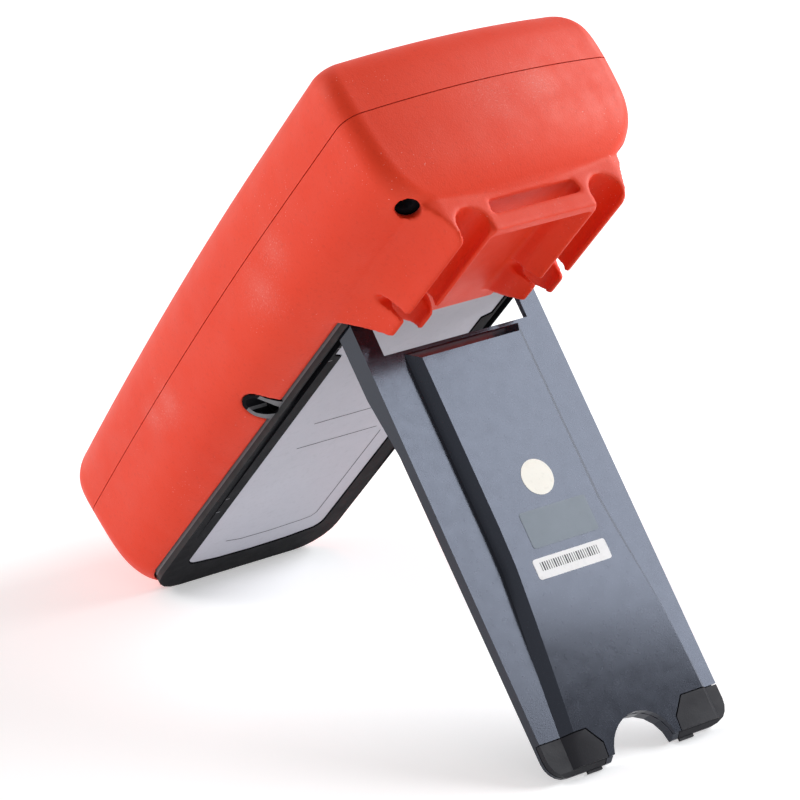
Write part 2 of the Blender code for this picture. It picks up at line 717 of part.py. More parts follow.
def door_outline(grow):
    """Grey panel: wider at its head, bowed at its foot."""
    half, head = DOOR_HALF_WIDTH + grow, DOOR_HEAD_HALF_WIDTH + grow
    foot, top = DOOR_Y0 - grow, DOOR_Y1 + grow
    step = DOOR_STEP_Y - grow
    right = [(0.0, foot - DOOR_BOW), (half / 2, foot - DOOR_BOW * 3 / 4)]
    right += arc((half - DOOR_CORNER, foot + DOOR_CORNER), DOOR_CORNER, -90, 0, 4)
    right += [(half, step), (head, step + DOOR_STEP)]
    right += [(head, top - DOOR_HEAD_CORNER), (head - DOOR_HEAD_CORNER, top)]
    return right + [(-x, y) for x, y in reversed(right[1:])]


def cell_columns():
    """X of the three columns; the door screw's rib stands between the last two."""
    first = -BAY_HALF_WIDTH + GAP + CELL_RADIUS
    return first, first + 2 * CELL_RADIUS + CELL_GAP, -first


def rib_x():
    columns = cell_columns()
    return (columns[1] + columns[2]) / 2


def screw_places():
    return [(side * x, y) for x, y in (SCREW_TOP, SCREW_DOOR) for side in (-1, 1)]


def lug_outline():
    radius = PIN_RADIUS + GAP + LUG_WALL
    shape = arc((HINGE_Y, HINGE_Z), radius, 0, 180, 6)
    return shape + [(HINGE_Y - radius, LUG_FOOT_Z), (HINGE_Y + radius, LUG_FOOT_Z)]


def swept_hinge(build, side, grow, low):
    """Room that one arm of the stand sweeps round its pin, above the given depth."""
    inner, outer = side * (ARM_INNER_X - GAP), side * (STAND_HALF_WIDTH + GAP)
    reach = 10 * MM
    room = rod(build, (inner, HINGE_Y, HINGE_Z), (outer, HINGE_Y, HINGE_Z), STAND_FACE + grow, 32)
    common(room, box(build, (-FAR, HINGE_Y - reach, low), (FAR, HINGE_Y + reach, reach)))
    return bake(room)


def flange_groove(build, side):
    """Groove beside the grey panel, where the stand's side flange lies when it is closed."""
    drop = HINGE_Z - GAP
    floor = [(0.0, FRAME_Z - POCKET_DEPTH - drop), FLANGE_DEEP, FLANGE_SHALLOW]
    floor.append((PLATEAU_WIDEN_END + 10 * MM, FRAME_Z - drop + PRESS))
    outline = [(HINGE_Y - along, drop + depth) for along, depth in floor]
    outline += [(outline[-1][0], 5 * MM), (HINGE_Y, 5 * MM)]
    inner = STAND_HALF_WIDTH - STAND_WALL - GAP
    low, high = sorted((side * inner, side * (STAND_HALF_WIDTH + GAP)))
    return plate(build, outline, low, high, "side")


def lug_limits(side):
    outer = STAND_HALF_WIDTH - STAND_WALL - GAP
    return sorted((side * outer, side * (outer - LUG_WIDTH)))


def build_bosses(build):
    """Battery bay walls and screw bosses, kept inside the middle of the black wall."""
    half = BAY_HALF_WIDTH + BAY_WALL
    low = (-half, BAY_Y0 - BAY_WALL, -BAY_DEPTH - BAY_WALL)
    posts = box(build, low, (half, BAY_Y1 + BAY_WALL, BOSS_TOP_Z))
    for x, y in screw_places():
        join(posts, rod(build, (x, y, PARTING_Z + BOSS_SETBACK), (x, y, BOSS_TOP_Z), BOSS_RADIUS, 12))
    common(posts, rear_skin(build, BLACK_DEPTH + BLACK_WALL / 2, True))
    return bake(posts)


def cut_battery_bay(build, case):
    """The bay's room, with the door screw's rib left standing in it."""
    cut(case, plate(build, door_outline(GAP), -DOOR_THICKNESS - GAP, 5 * MM))
    bay = box(build, (-BAY_HALF_WIDTH, BAY_Y0, -BAY_DEPTH), (BAY_HALF_WIDTH, BAY_Y1, 5 * MM))
    low = (rib_x() - CELL_RIB / 2, BAY_Y0 + RIB_SETBACK, -2 * BAY_DEPTH)
    high = (rib_x() + CELL_RIB / 2, BAY_Y1 - RIB_SETBACK, -DOOR_THICKNESS - GAP)
    cut(bay, box(build, low, high))
    cut(case, bake(bay))
    top = (rib_x(), DOOR_SCREW_Y, 1 * MM)
    cut(case, rod(build, (rib_x(), DOOR_SCREW_Y, 1 * MM - BAY_DEPTH), top, DOOR_SCREW_RADIUS + PRESS, 10))


def cut_inlet(build, case):
    """Room for the inlet's body, and its hole out through the flank."""
    half = JACK_BODY_HALF + GAP
    low = (-JACK_OUTER_X - GAP, JACK_Y - half, JACK_ROOM_Z)
    cut(case, box(build, low, (-JACK_INNER_X + GAP, JACK_Y + half, JACK_Z + half)))
    well = (-JACK_OUTER_X + 1 * MM, JACK_Y, JACK_Z)
    mouth = (-JACK_MOUTH_X, JACK_Y, JACK_Z)
    cut(case, rod(build, (-FAR, JACK_Y, JACK_Z), mouth, JACK_BORE, 20))
    cut(case, rod(build, (-JACK_MOUTH_X - 1 * MM, JACK_Y, JACK_Z), well, JACK_WELL, 20))


def cut_hinges(build, case):
    """Pockets and grooves for the arms, with a lug beside each of them for its pin."""
    for side in (-1, 1):
        cut(case, swept_hinge(build, side, SWING_GAP, FRAME_Z - POCKET_DEPTH))
        cut(case, flange_groove(build, side))
        low, high = lug_limits(side)
        join(case, plate(build, lug_outline(), low, high, "side"))
        start, end = (low - 1 * MM, HINGE_Y, HINGE_Z), (high + 1 * MM, HINGE_Y, HINGE_Z)
        cut(case, rod(build, start, end, PIN_RADIUS + GAP, 12))


def build_rear_case(build):
    posts = build_bosses(build)
    case = rear_skin(build, BLACK_DEPTH, False)
    cut(case, rear_skin(build, BLACK_DEPTH + BLACK_WALL, True))
    frame = mirrored(frame_outline(0.0, HINGE_NOTCH_Y - GAP))
    join(case, plate(build, frame, FRAME_Z - FRAME_THICKNESS, FRAME_Z), posts)
    ring = rear_skin(build, 0.0, False)
    common(ring, jack_window(build, 0.0))
    join(case, bake(ring))
    step = HINGE_NOTCH_X + FIELD_STEP + 0.4 * MM
    low = (-step, LABEL_TOP_Y - GAP, HEAD_PAD_Z - RED_WALL - 3 * GAP)
    cut(case, box(build, low, (step, HINGE_NOTCH_Y + 5 * MM, 5 * MM)))
    cut_battery_bay(build, case)
    cut_inlet(build, case)
    for x, y in screw_places():
        cut(case, rod(build, (x, y, SCREW_SEAT_Z), (x, y, 5 * MM), SCREW_BORE_RADIUS, 12))
        start = (x, y, PARTING_Z - 10 * MM)
        cut(case, rod(build, start, (x, y, SCREW_SEAT_Z + 1 * MM), SCREW_RADIUS + GAP, 12))
    cut_hinges(build, case)
    bake(case)
    return build.part(smooth(case), "rear_case", "black")


def build_door(build):
    door = plate(build, door_outline(0.0), -DOOR_THICKNESS, 0.0)
    place = (rib_x(), DOOR_SCREW_Y)
    above = (*place, 5 * MM)
    cut(door, rod(build, (*place, -5 * MM), above, DOOR_SCREW_RADIUS + GAP, 12))
    cut(door, rod(build, (*place, -DOOR_SCREW_SEAT), above, SCREW_HEAD_RADIUS + GAP, 16))
    lug_y = HINGE_Y - PIN_RADIUS - LUG_WALL - 2 * GAP
    for side in (-1, 1):
        low, high = sorted((lug_limits(side)[side < 0] - side * GAP, side * FAR))
        cut(door, box(build, (low, lug_y, -5 * MM), (high, Y_TOP, 5 * MM)))
    bake(door)
    return build.part(door, "battery_door", "grey")


def lathe(build, profile, steps, parent=None):
    """Revolve (radius, height) points round Z into a closed solid."""
    work = bmesh.new()
    rows = []
    for radius, z in profile:
        turns = [2 * math.pi * i / steps for i in range(steps)]
        rows.append([work.verts.new((radius * math.cos(a), radius * math.sin(a), z)) for a in turns])
    for lower, upper in zip(rows, rows[1:]):
        for i in range(steps):
            j = (i + 1) % steps
            work.faces.new((lower[i], lower[j], upper[j], upper[i]))
    if profile[0] == profile[-1]:
        bmesh.ops.remove_doubles(work, verts=work.verts, dist=1e-7)
    else:
        work.faces.new(rows[0])
        work.faces.new(rows[-1])
    return smooth(build.tool(mesh_from(work), parent))


def turned_screw(build, name, place, seat, length, radius, head):
    """Pan-head screw pointing down into the housing."""
    profile = ((radius, seat - length), (radius, seat), (head, seat), (head, seat + SCREW_HEAD * 0.4))
    item = lathe(build, profile + ((head * 0.7, seat + SCREW_HEAD * 0.7),), 10)
    item.location = (*place, 0)
    return build.part(item, name, "steel")


def build_screws(build):
    for i, place in enumerate(screw_places(), 1):
        seat = SCREW_SEAT_Z + GAP
        turned_screw(build, "case_screw_%d" % i, place, seat, SCREW_LENGTH, SCREW_RADIUS, SCREW_HEAD_RADIUS)
    seat = GAP / 2 - DOOR_SCREW_SEAT
    place = (rib_x(), DOOR_SCREW_Y)
    turned_screw(build, "door_screw", place, seat, DOOR_SCREW_LENGTH, DOOR_SCREW_RADIUS, SCREW_HEAD_RADIUS)


def cell_z():
    """Height of the cells' axes, which lie on the floor of the bay."""
    return -BAY_DEPTH + GAP + CELL_RADIUS


def build_cells(build):
    """Six cells in three columns of two; the middle column is turned round."""
    total = CELL_LENGTH + CELL_NUB
    waist = CELL_RADIUS - CELL_BEVEL
    profile = ((waist, 0.0), (CELL_RADIUS, CELL_BEVEL), (CELL_RADIUS, CELL_LENGTH - CELL_BEVEL),
               (waist, CELL_LENGTH), (CELL_NUB_RADIUS, CELL_LENGTH), (CELL_NUB_RADIUS, total))
    for column, x in enumerate(cell_columns()):
        for row in (0, 1):
            start = BAY_Y0 + CONTACT_ROOM + row * (total + GAP)
            flipped = column == 1
            item = lathe(build, profile, CELL_STEPS)
            item.rotation_euler = (math.radians(90 if flipped else -90), 0, 0)
            item.location = (x, start + (total if flipped else 0.0), cell_z())
            build.part(item, "cell_%d" % (2 * column + row + 1), "cell")


def build_contacts(build):
    """Contact strips at both ends of the bay, with a spring cone or a dimple for each cell."""
    layout = (("contact_foot_single", BAY_Y0, 1, (0,)), ("contact_foot_pair", BAY_Y0, 1, (1, 2)),
              ("contact_head_pair", BAY_Y1, -1, (0, 1)), ("contact_head_single", BAY_Y1, -1, (2,)))
    margin = CELL_RADIUS - 1 * MM
    for name, wall_y, into, columns in layout:
        near = wall_y + into * GAP
        far = near + into * CONTACT_PLATE
        y0, y1 = sorted((near, far))
        xs = [cell_columns()[column] for column in columns]
        low = (min(xs) - margin, y0, cell_z() - margin)
        strip = box(build, low, (max(xs) + margin, y1, cell_z() + margin))
        for x in xs:
            base = (x, (near + far) / 2, cell_z())
            tip = (x, wall_y + into * (CONTACT_ROOM - GAP), cell_z())
            join(strip, rod(build, base, tip, CONTACT_BASE_RADIUS, 12, None, CONTACT_TIP_RADIUS))
        build.part(bake(strip), name, "steel")


def build_jack(build):
    half = JACK_BODY_HALF
    low = (-JACK_OUTER_X, JACK_Y - half, JACK_Z - half)
    body = box(build, low, (-JACK_INNER_X, JACK_Y + half, JACK_Z + half))
    outer = (-JACK_OUTER_X - 1 * MM, JACK_Y, JACK_Z)
    bottom = (-JACK_INNER_X - JACK_BODY_BACK, JACK_Y, JACK_Z)
    cut(body, rod(build, outer, bottom, JACK_WELL - PRESS, 16))
    root = (-JACK_INNER_X - JACK_BODY_BACK / 2, JACK_Y, JACK_Z)
    tip = (-JACK_OUTER_X + 0.5 * MM, JACK_Y, JACK_Z)
    join(body, rod(build, tip, root, JACK_PIN_RADIUS, 10))
    return build.part(smooth(bake(body)), "dc_jack", "black")


def build_front_overmould(build):
    skin = front_skin(build, 0.0, False)
    opening = whole(outline_half(PANEL_INSET, PANEL_INSET, PANEL_INSET))
    cut(skin, front_skin(build, RED_WALL, True))
    cut(skin, plate(build, opening, -FAR, PARTING_Z - 8.7 * MM))
    return build.part(smooth(bake(skin)), "front_overmould", "red")


def panel_box(build, size, place, low, high, radius=0.0):
    """A rounded plate in the front panel's frame; heights run inwards."""
    outline = rounded(size[0] / 2, size[1] / 2, radius or 0.2 * MM, place, 2 if radius else 1)
    return plate(build, outline, low, high, "plan", build.front)


def front_posts(build):
    """Screw bosses and board posts; the two in the head's corners stay inside its wall."""
    head_limit = front_skin(build, BLACK_DEPTH + BLACK_WALL / 2, True)
    places = [(x, y, BOSS_RADIUS, PARTING_Z - BOSS_SETBACK) for x, y in (SCREW_TOP, SCREW_DOOR)]
    places.append((BOARD_HALF_WIDTH - POST_INSET, POST_Y, POST_RADIUS, BOARD_Z0 - GAP))
    posts = []
    for x, y, radius, top in places:
        start = front_height(y, FRONT_Z_HEAD) + PANEL_THICKNESS / 2
        for side in (-1, 1):
            post = rod(build, (side * x, y, start), (side * x, y, top), radius, 12)
            if (x, y) == SCREW_TOP:
                common(post, head_limit)
                bake(post)
            posts.append(post)
    return posts


def cut_front_openings(build, case):
    """Window with its ledge, nine key holes, three sockets and two component slots."""
    outside, inside = -3 * MM, 7 * MM
    width, height = WINDOW_WIDTH, WINDOW_HEIGHT
    middle = (0.0, WINDOW_Y)
    room = (width + 2 * GAP, height + 2 * GAP)
    cut(case, panel_box(build, room, middle, outside, WINDOW_THICKNESS, WINDOW_CORNER + GAP))
    sight = (width - 2 * WINDOW_LEDGE, height - 2 * WINDOW_LEDGE)
    cut(case, panel_box(build, sight, middle, outside, inside, WINDOW_CORNER))
    room = (KEY_SIZE[0] + 2 * GAP, KEY_SIZE[1] + 2 * GAP)
    for place in [(x, y) for y in KEY_ROWS for x in KEY_COLUMNS]:
        cut(case, panel_box(build, room, place, outside, inside, KEY_CORNER + GAP))
    for x in SOCKET_XS:
        start, end = (x, SOCKET_Y, outside), (x, SOCKET_Y, inside)
        cut(case, rod(build, start, end, SOCKET_HOLE, 16, build.front))
    for side in (-1, 1):
        place = (side * SLOT_CONTACT_X, SLOT_CONTACT_Y)
        cut(case, panel_box(build, SLOT_OPENING, place, outside, inside))


def build_front_case(build):
    case = front_skin(build, BLACK_DEPTH, False)
    inset = PANEL_INSET + GAP
    panel = whole(outline_half(inset, inset, inset))
    start = FRONT_Z_HEAD + 2 * PANEL_THICKNESS
    join(case, loft(build, ((panel, start), (panel, FRONT_Z_HEAD)), front_height))
    inset = PANEL_INSET + PANEL_WALL
    recess = whole(outline_half(inset, inset, inset))
    deep, shallow = FRONT_Z_HEAD + 4 * PANEL_THICKNESS, FRONT_Z_HEAD + PANEL_THICKNESS
    cut(case, front_skin(build, BLACK_DEPTH + BLACK_WALL, True))
    cut(case, loft(build, ((recess, deep), (recess, shallow)), front_height))
    join(case, *front_posts(build))
    for x, y in screw_places():
        start = (x, y, SCREW_SEAT_Z - SCREW_LENGTH - 4 * MM)
        cut(case, rod(build, start, (x, y, SCREW_SEAT_Z), SCREW_RADIUS + PRESS, 12))
    cut_front_openings(build, case)
    return build.part(smooth(bake(case)), "front_case", "black")


def board_depth(y):
    """Distance from the front face to the board's front side, in the panel's frame."""
    return BOARD_Z0 - front_height(y, FRONT_Z_HEAD)


def build_display(build):
    width, height = WINDOW_WIDTH, WINDOW_HEIGHT
    middle = (0.0, WINDOW_Y)
    lens = panel_box(build, (width, height), middle, 0.0, WINDOW_THICKNESS - GAP, WINDOW_CORNER)
    build.part(lens, "display_window", "clear", build.front)
    start = PANEL_THICKNESS + 2 * GAP
    size = (width - 2 * LCD_MARGIN, height - 2 * LCD_MARGIN)
    module = panel_box(build, size, middle, start, start + LCD_THICKNESS)
    build.part(module, "lcd_module", "glass", build.front)
    low, high = start + LCD_THICKNESS + GAP, board_depth(WINDOW_Y) - 2 * GAP
    holder = panel_box(build, (width, height), middle, low, high, 2 * MM)
    size = (width - 2 * LCD_HOLDER_WALL, height - 2 * LCD_HOLDER_WALL)
    cut(holder, panel_box(build, size, middle, low - 1 * MM, high + 1 * MM, 1 * MM))
    build.part(bake(holder), "lcd_holder", "key", build.front)


def build_keys(build):
    names = iter(["power_key"] + ["key_%d" % i for i in range(1, 9)])
    top = PANEL_THICKNESS + GAP
    foot = (KEY_SIZE[0] + 2 * KEY_FLANGE_REACH, KEY_SIZE[1] + 2 * KEY_FLANGE_REACH)
    for x, y in [(x, y) for y in KEY_ROWS for x in KEY_COLUMNS]:
        name = next(names)
        hanger = build.empty(name + "_slide", build.front)
        hanger.location = (x, y, 0)
        cap = panel_box(build, KEY_SIZE, (0, 0), -KEY_PROUD, top + PRESS, KEY_CORNER)
        flange = panel_box(build, foot, (0, 0), top, top + KEY_FLANGE, KEY_CORNER + 0.6 * MM)
        stem_end = board_depth(y) - MAT_THICKNESS - KEY_TRAVEL - 2 * GAP
        stem = rod(build, (0, 0, top + KEY_FLANGE / 2), (0, 0, stem_end), KEY_STEM_RADIUS, 8)
        for piece in (cap, flange, stem):
            piece.parent = None
        join(cap, flange, stem)
        look = "power" if name == "power_key" else "key"
        build.part(smooth(bake(cap)), name, look, hanger)


def build_board(build):
    low = (-BOARD_HALF_WIDTH, BOARD_Y0, BOARD_Z0)
    board = box(build, low, (BOARD_HALF_WIDTH, BOARD_Y1, BOARD_Z0 + BOARD_THICKNESS))
    for x, y in screw_places():
        start, end = (x, y, BOARD_Z0 - 5 * MM), (x, y, BOARD_Z0 + 5 * MM)
        cut(board, rod(build, start, end, BOSS_RADIUS + GAP, 16))
    build.part(bake(board), "main_board", "board")
    top = BOARD_Z0 - GAP
    low = (KEY_COLUMNS[0] - MAT_MARGIN, KEY_ROWS[-1] - MAT_MARGIN, top - MAT_THICKNESS)
    mat = box(build, low, (KEY_COLUMNS[-1] + MAT_MARGIN, KEY_ROWS[0] + MAT_MARGIN, top))
    build.part(mat, "key_mat", "rubber")


def build_sockets(build):
    base = BOARD_Z0 - GAP
    collar = base - SOCKET_FLANGE_THICKNESS
    wide = SOCKET_OUTER + SOCKET_FLANGE
    tip = front_height(SOCKET_Y, FRONT_Z_HEAD) + 1.0 * MM
    profile = ((SOCKET_INNER, tip), (SOCKET_OUTER, tip), (SOCKET_OUTER, collar), (wide, collar),
               (wide, base), (SOCKET_INNER, base), (SOCKET_INNER, tip))
    for name, x in zip(("socket_minus", "socket_guard", "socket_plus"), SOCKET_XS):
        item = lathe(build, profile, 14)
        item.location = (x, SOCKET_Y, 0)
        build.part(item, name, "brass")


def build_lead_contacts(build):
    """A forked spring behind each component slot."""
    base = BOARD_Z0 - GAP
    tip = front_height(SLOT_CONTACT_Y, FRONT_Z_HEAD) + PANEL_THICKNESS + 1.0 * MM
    reach = SLOT_OPENING[0] / 2 - 1 * MM
    gap = SLOT_OPENING[1] / 2 + 0.2 * MM
    fork = [(gap + LEAF, base), (gap + LEAF, tip), (gap, tip), (gap, base - LEAF)]
    fork += [(-y, z) for y, z in reversed(fork)]
    outline = [(SLOT_CONTACT_Y + y, z) for y, z in fork]
    for side, word in ((-1, "left"), (1, "right")):
        x = side * SLOT_CONTACT_X
        build.part(plate(build, outline, x - reach, x + reach, "side"), "lead_contact_" + word, "steel")


def stand_body(build):
    """The whole tray in its hinge frame: X across, Y from the pin to the foot, Z outwards."""
    half = STAND_HALF_WIDTH
    wide = half + 1 * MM
    side = arc((0, 0), STAND_FACE, 90, 135, 3) + arc((0, 0), ARM_HEEL, 180, 270, 3)
    side += [FLANGE_DEEP, FLANGE_SHALLOW, (PLATEAU_WIDEN_END, STAND_EDGE - PRESS)]
    side += [(STAND_LENGTH, STAND_EDGE), (STAND_LENGTH, STAND_FACE - STAND_LIP_DROP)]
    side += [(STAND_LENGTH - STAND_LIP, STAND_FACE)]
    tray = plate(build, side, -half, half, "side", build.hinge)
    corner = STAND_CORNER
    dip = math.degrees(math.asin((NOTCH_CENTRE - STAND_LENGTH) / NOTCH_RADIUS))
    keep = [(-wide, -10 * MM), (wide, -10 * MM), (wide, STAND_LENGTH - corner)]
    keep += arc((half - corner, STAND_LENGTH - corner), corner, 0, 90, 5)
    keep += arc((0, NOTCH_CENTRE), NOTCH_RADIUS, -dip, -180 + dip, 10)
    keep += arc((corner - half, STAND_LENGTH - corner), corner, 90, 180, 5)
    keep += [(-wide, STAND_LENGTH - corner)]
    common(tray, plate(build, keep, -10 * MM, 10 * MM, "plan", build.hinge))
    bake(tray)
    join(tray, plateau(build))
    return bake(tray)


def plateau_half(y):
    """Half width of the raised centre at its base."""
    share = (y - PLATEAU_WIDEN_START) / (PLATEAU_WIDEN_END - PLATEAU_WIDEN_START)
    share = min(max(share, 0.0), 1.0)
    return PLATEAU_HALF_TOP + (PLATEAU_HALF_FOOT - PLATEAU_HALF_TOP) * share * share * (3 - 2 * share)


def plateau(build):
    """Raised centre of the stand with sloped borders, running off at the foot."""
    step = (PLATEAU_WIDEN_END - PLATEAU_WIDEN_START) / PLATEAU_STEPS
    stations = [PLATEAU_START, 0.3 * STAND_LENGTH]
    stations += [PLATEAU_WIDEN_START + step * i for i in range(PLATEAU_STEPS + 1)]
    end = STAND_LENGTH + 4 * MM
    levels = ((0.0, STAND_FACE - 0.4 * MM), (0.0, STAND_FACE + 0.02 * MM),
              (PLATEAU_SLOPE, STAND_FACE + PLATEAU_HEIGHT))
    rings = []
    for inset, level in levels:
        first = PLATEAU_START + inset * PLATEAU_END_SLOPE
        right = [(plateau_half(y) - inset, max(y, first)) for y in stations]
        right.append((plateau_half(end) - inset, end))
        rings.append((mirrored(right), level))
    item = loft(build, rings, None, build.hinge)
    low = (-FAR, STAND_LENGTH - STAND_LIP - PRESS, -10 * MM)
    cut(item, box(build, low, (FAR, end + 10 * MM, 10 * MM), build.hinge))
    start, reach = (0, NOTCH_CENTRE, -10 * MM), (0, NOTCH_CENTRE, 10 * MM)
    cut(item, rod(build, start, reach, NOTCH_RADIUS + 0.05 * MM, 32, build.hinge))
    return bake(item)


def pad_outline(side, grow):
    inner = PAD_INNER_X - grow
    start = PAD_START - grow
    end = STAND_LENGTH + 15 * MM
    shape = [(FAR, start), (inner + PAD_CHAMFER * 0.8, start), (inner, start + PAD_CHAMFER)]
    shape += [(inner, end), (FAR, end)]
    return [(side * x, y) for x, y in shape]


def build_pad(build, side, shelf):
    pad = stand_body(build)
    common(pad, plate(build, pad_outline(side, 0.0), shelf + GAP / 2, 10 * MM, "plan", build.hinge))
    name = "foot_pad_left" if side > 0 else "foot_pad_right"
    build.part(smooth(bake(pad)), name, "rubber", build.hinge)


def build_stand(build):
    stand = stand_body(build)
    shelf = STAND_EDGE + PAD_SHELF
    for side in (1, -1):
        build_pad(build, side, shelf)
        cut(stand, plate(build, pad_outline(side, GAP), shelf - GAP / 2, 10 * MM, "plan", build.hinge))
        low, high = side * NUB_X - NUB_WIDTH / 2, side * NUB_X + NUB_WIDTH / 2
        nub = box(build, (low, STAND_LENGTH - 1 * MM, STAND_EDGE + NUB_LIFT),
                  (high, STAND_LENGTH + NUB_HEIGHT, shelf - GAP), build.hinge)
        join(stand, nub)
    inner = STAND_HALF_WIDTH - STAND_WALL
    under = STAND_FACE - STAND_SKIN
    start = (-10 * MM, -10 * MM)
    hollow = box(build, (-inner, *start), (inner, PAD_START - STAND_WALL, under), build.hinge)
    window = box(build, (-ARM_INNER_X, *start), (ARM_INNER_X, ARM_LENGTH, 10 * MM), build.hinge)
    cut(stand, hollow, window)
    for side in (-1, 1):
        root, tip = (side * (inner + 1 * MM), 0, 0), (side * (inner - PIN_LENGTH), 0, 0)
        join(stand, rod(build, root, tip, PIN_RADIUS, 12, build.hinge))
    build.part(smooth(bake(stand)), "tilt_stand", "black", build.hinge)


def set_frames(build):
    """Open the stand and tilt the panel frame."""
    build.hinge.location = (0, HINGE_Y, HINGE_Z)
    build.hinge.rotation_euler = (STAND_ANGLE, 0, math.pi)
    slope = (FRONT_Z_HEAD - FRONT_Z_FOOT) / Y_TOP
    build.front.location = (0, 0, FRONT_Z_FOOT)
    build.front.rotation_euler = (math.atan(slope), 0, 0)


def lean(build):
    """Lean the meter so that its foot edge and the stand's nubs share the ground plane."""
    along = Vector((0, -math.cos(STAND_ANGLE), math.sin(STAND_ANGLE)))
    out = Vector((0, math.sin(STAND_ANGLE), math.cos(STAND_ANGLE)))
    hinge = Vector((0, HINGE_Y, HINGE_Z))
    tip = hinge + along * (STAND_LENGTH + NUB_HEIGHT) + out * (STAND_EDGE + NUB_LIFT)
    foot = Vector((0, FRAME_Y_FOOT, FRAME_Z))
    angle = math.atan2(tip.z - foot.z, tip.y - foot.y)
    across, up = math.cos(angle), math.sin(angle)
    turn = Matrix(((-1, 0, 0), (0, across, up), (0, up, -across)))
    build.meter.matrix_world = turn.to_4x4()
    bpy.context.view_layer.update()
    low, high = world_box(build)
    middle = (low + high) / 2
    build.meter.matrix_world = Matrix.Translation((-middle.x, -middle.y, -low.z)) @ turn.to_4x4()
    bpy.context.view_layer.update()


def world_box(build):
    corners = []
    for item in build.parts.objects:
        if item.type == "MESH":
            corners += [item.matrix_world @ vert.co for vert in item.data.vertices]
    low = Vector([min(corner[i] for corner in corners) for i in range(3)])
    high = Vector([max(corner[i] for corner in corners) for i in range(3)])
    return low, high


def main():
    clear_scene()
    build = Builder()
    set_frames(build)
    bpy.context.view_layer.update()
    build_rear_overmould(build)
    build_rear_case(build)
    build_door(build)
    build_screws(build)
    build_cells(build)
    build_contacts(build)
    build_jack(build)
    build_front_overmould(build)
    build_front_case(build)
    build_display(build)
    build_keys(build)
    build_board(build)
    build_sockets(build)
    build_lead_contacts(build)
    build_stand(build)
    lean(build)


main()
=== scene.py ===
import json
import math

import bmesh
import bpy
from mathutils import Matrix, Vector

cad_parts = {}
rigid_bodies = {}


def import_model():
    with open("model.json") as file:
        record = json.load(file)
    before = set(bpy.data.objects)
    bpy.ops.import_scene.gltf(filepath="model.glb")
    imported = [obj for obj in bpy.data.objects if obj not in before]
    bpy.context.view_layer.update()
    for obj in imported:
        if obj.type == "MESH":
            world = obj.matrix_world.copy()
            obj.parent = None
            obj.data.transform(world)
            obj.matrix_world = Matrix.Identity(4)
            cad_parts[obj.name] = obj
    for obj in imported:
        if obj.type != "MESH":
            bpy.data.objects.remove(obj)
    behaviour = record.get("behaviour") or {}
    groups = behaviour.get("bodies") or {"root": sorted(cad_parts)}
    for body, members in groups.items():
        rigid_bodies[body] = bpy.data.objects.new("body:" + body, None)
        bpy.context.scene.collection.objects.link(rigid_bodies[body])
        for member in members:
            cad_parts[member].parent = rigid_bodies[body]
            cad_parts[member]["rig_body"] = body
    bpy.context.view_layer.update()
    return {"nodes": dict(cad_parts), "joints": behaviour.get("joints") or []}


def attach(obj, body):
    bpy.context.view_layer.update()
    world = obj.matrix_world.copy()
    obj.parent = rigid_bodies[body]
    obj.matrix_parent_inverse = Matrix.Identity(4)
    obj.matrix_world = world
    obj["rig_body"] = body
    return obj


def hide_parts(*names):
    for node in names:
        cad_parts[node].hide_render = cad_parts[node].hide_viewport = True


MM = 0.001
MERGE = 1e-6
GAP = 0.3 * MM
PRESS = 0.1 * MM
SPARE = 1 * MM
FAR = 60.0 * MM

# Housing, in the meter's frame: X across, Y from foot to head, Z out of the rear face
Y_TOP = 207.6 * MM
Y_FOOT = -5.0 * MM
HEAD_HALF_WIDTH = 46.6 * MM
FOOT_HALF_WIDTH = 0.798 * HEAD_HALF_WIDTH
HINGE_Y = 0.6734 * Y_TOP
WIDEST_Y = HINGE_Y + 10.2 * MM
HEAD_TAPER = 0.4 * MM
DOME = 1.8
FOOT_BOW = 0.5
HEAD_CORNER = 6.0 * MM
FOOT_CORNER = 11.0 * MM
PARTING_Z = -29.3 * MM
FRONT_Z_HEAD = -48.6 * MM
FRONT_Z_FOOT = -46.0 * MM
RED_WALL = 2.2 * MM
CAVITY_START = 2.0 * MM
FRONT_LIP_Z = PARTING_Z - 8.7 * MM
PANEL_INSET = 9.0 * MM

# Black frame round the grey panel, and the red skin's opening for it
FRAME_HALF_WIDTH = 0.6953 * HEAD_HALF_WIDTH
FRAME_Y_FOOT = -0.6 * MM
FRAME_CORNER = 11.0 * MM
FRAME_HEAD_CORNER = 3.0 * MM
FRAME_Z = 0.3 * MM
RED_EDGE_HALF_WIDTH = FRAME_HALF_WIDTH - 0.3 * MM
FOOT_INSET = 4.4 * MM
HEAD_PAD_Z = 0.8 * MM
OPENING_Z = (-12 * MM, 20 * MM)
LABEL_TOP_Y = HINGE_Y - GAP
HINGE_NOTCH_Y = HINGE_Y + 5.5 * MM
HINGE_Z = -0.4 * MM

# Tilt stand, measured from its pin
STAND_ANGLE = math.radians(80.6)
STAND_HALF_WIDTH = FRAME_HALF_WIDTH - 0.8 * MM
STAND_LENGTH = HINGE_Y - 5.0 * MM
STAND_FACE = 4.2 * MM
STAND_EDGE = 1.0 * MM
ARM_INNER_X = STAND_HALF_WIDTH - 6.3 * MM
SWING_GAP = 0.35 * MM
SWING_REACH = 10 * MM
PLATEAU_HEIGHT = 1.2 * MM
PLATEAU_START = 11.9 * MM
PLATEAU_SLOPE = 5.6 * MM
PLATEAU_HALF_TOP = STAND_HALF_WIDTH - 12.4 * MM
PLATEAU_HALF_FOOT = STAND_HALF_WIDTH - 6.8 * MM
PLATEAU_WIDEN_START = 0.49 * STAND_LENGTH
PLATEAU_WIDEN_END = 0.831 * STAND_LENGTH
NUB_HEIGHT = 0.8 * MM
NUB_LIFT = 0.3 * MM

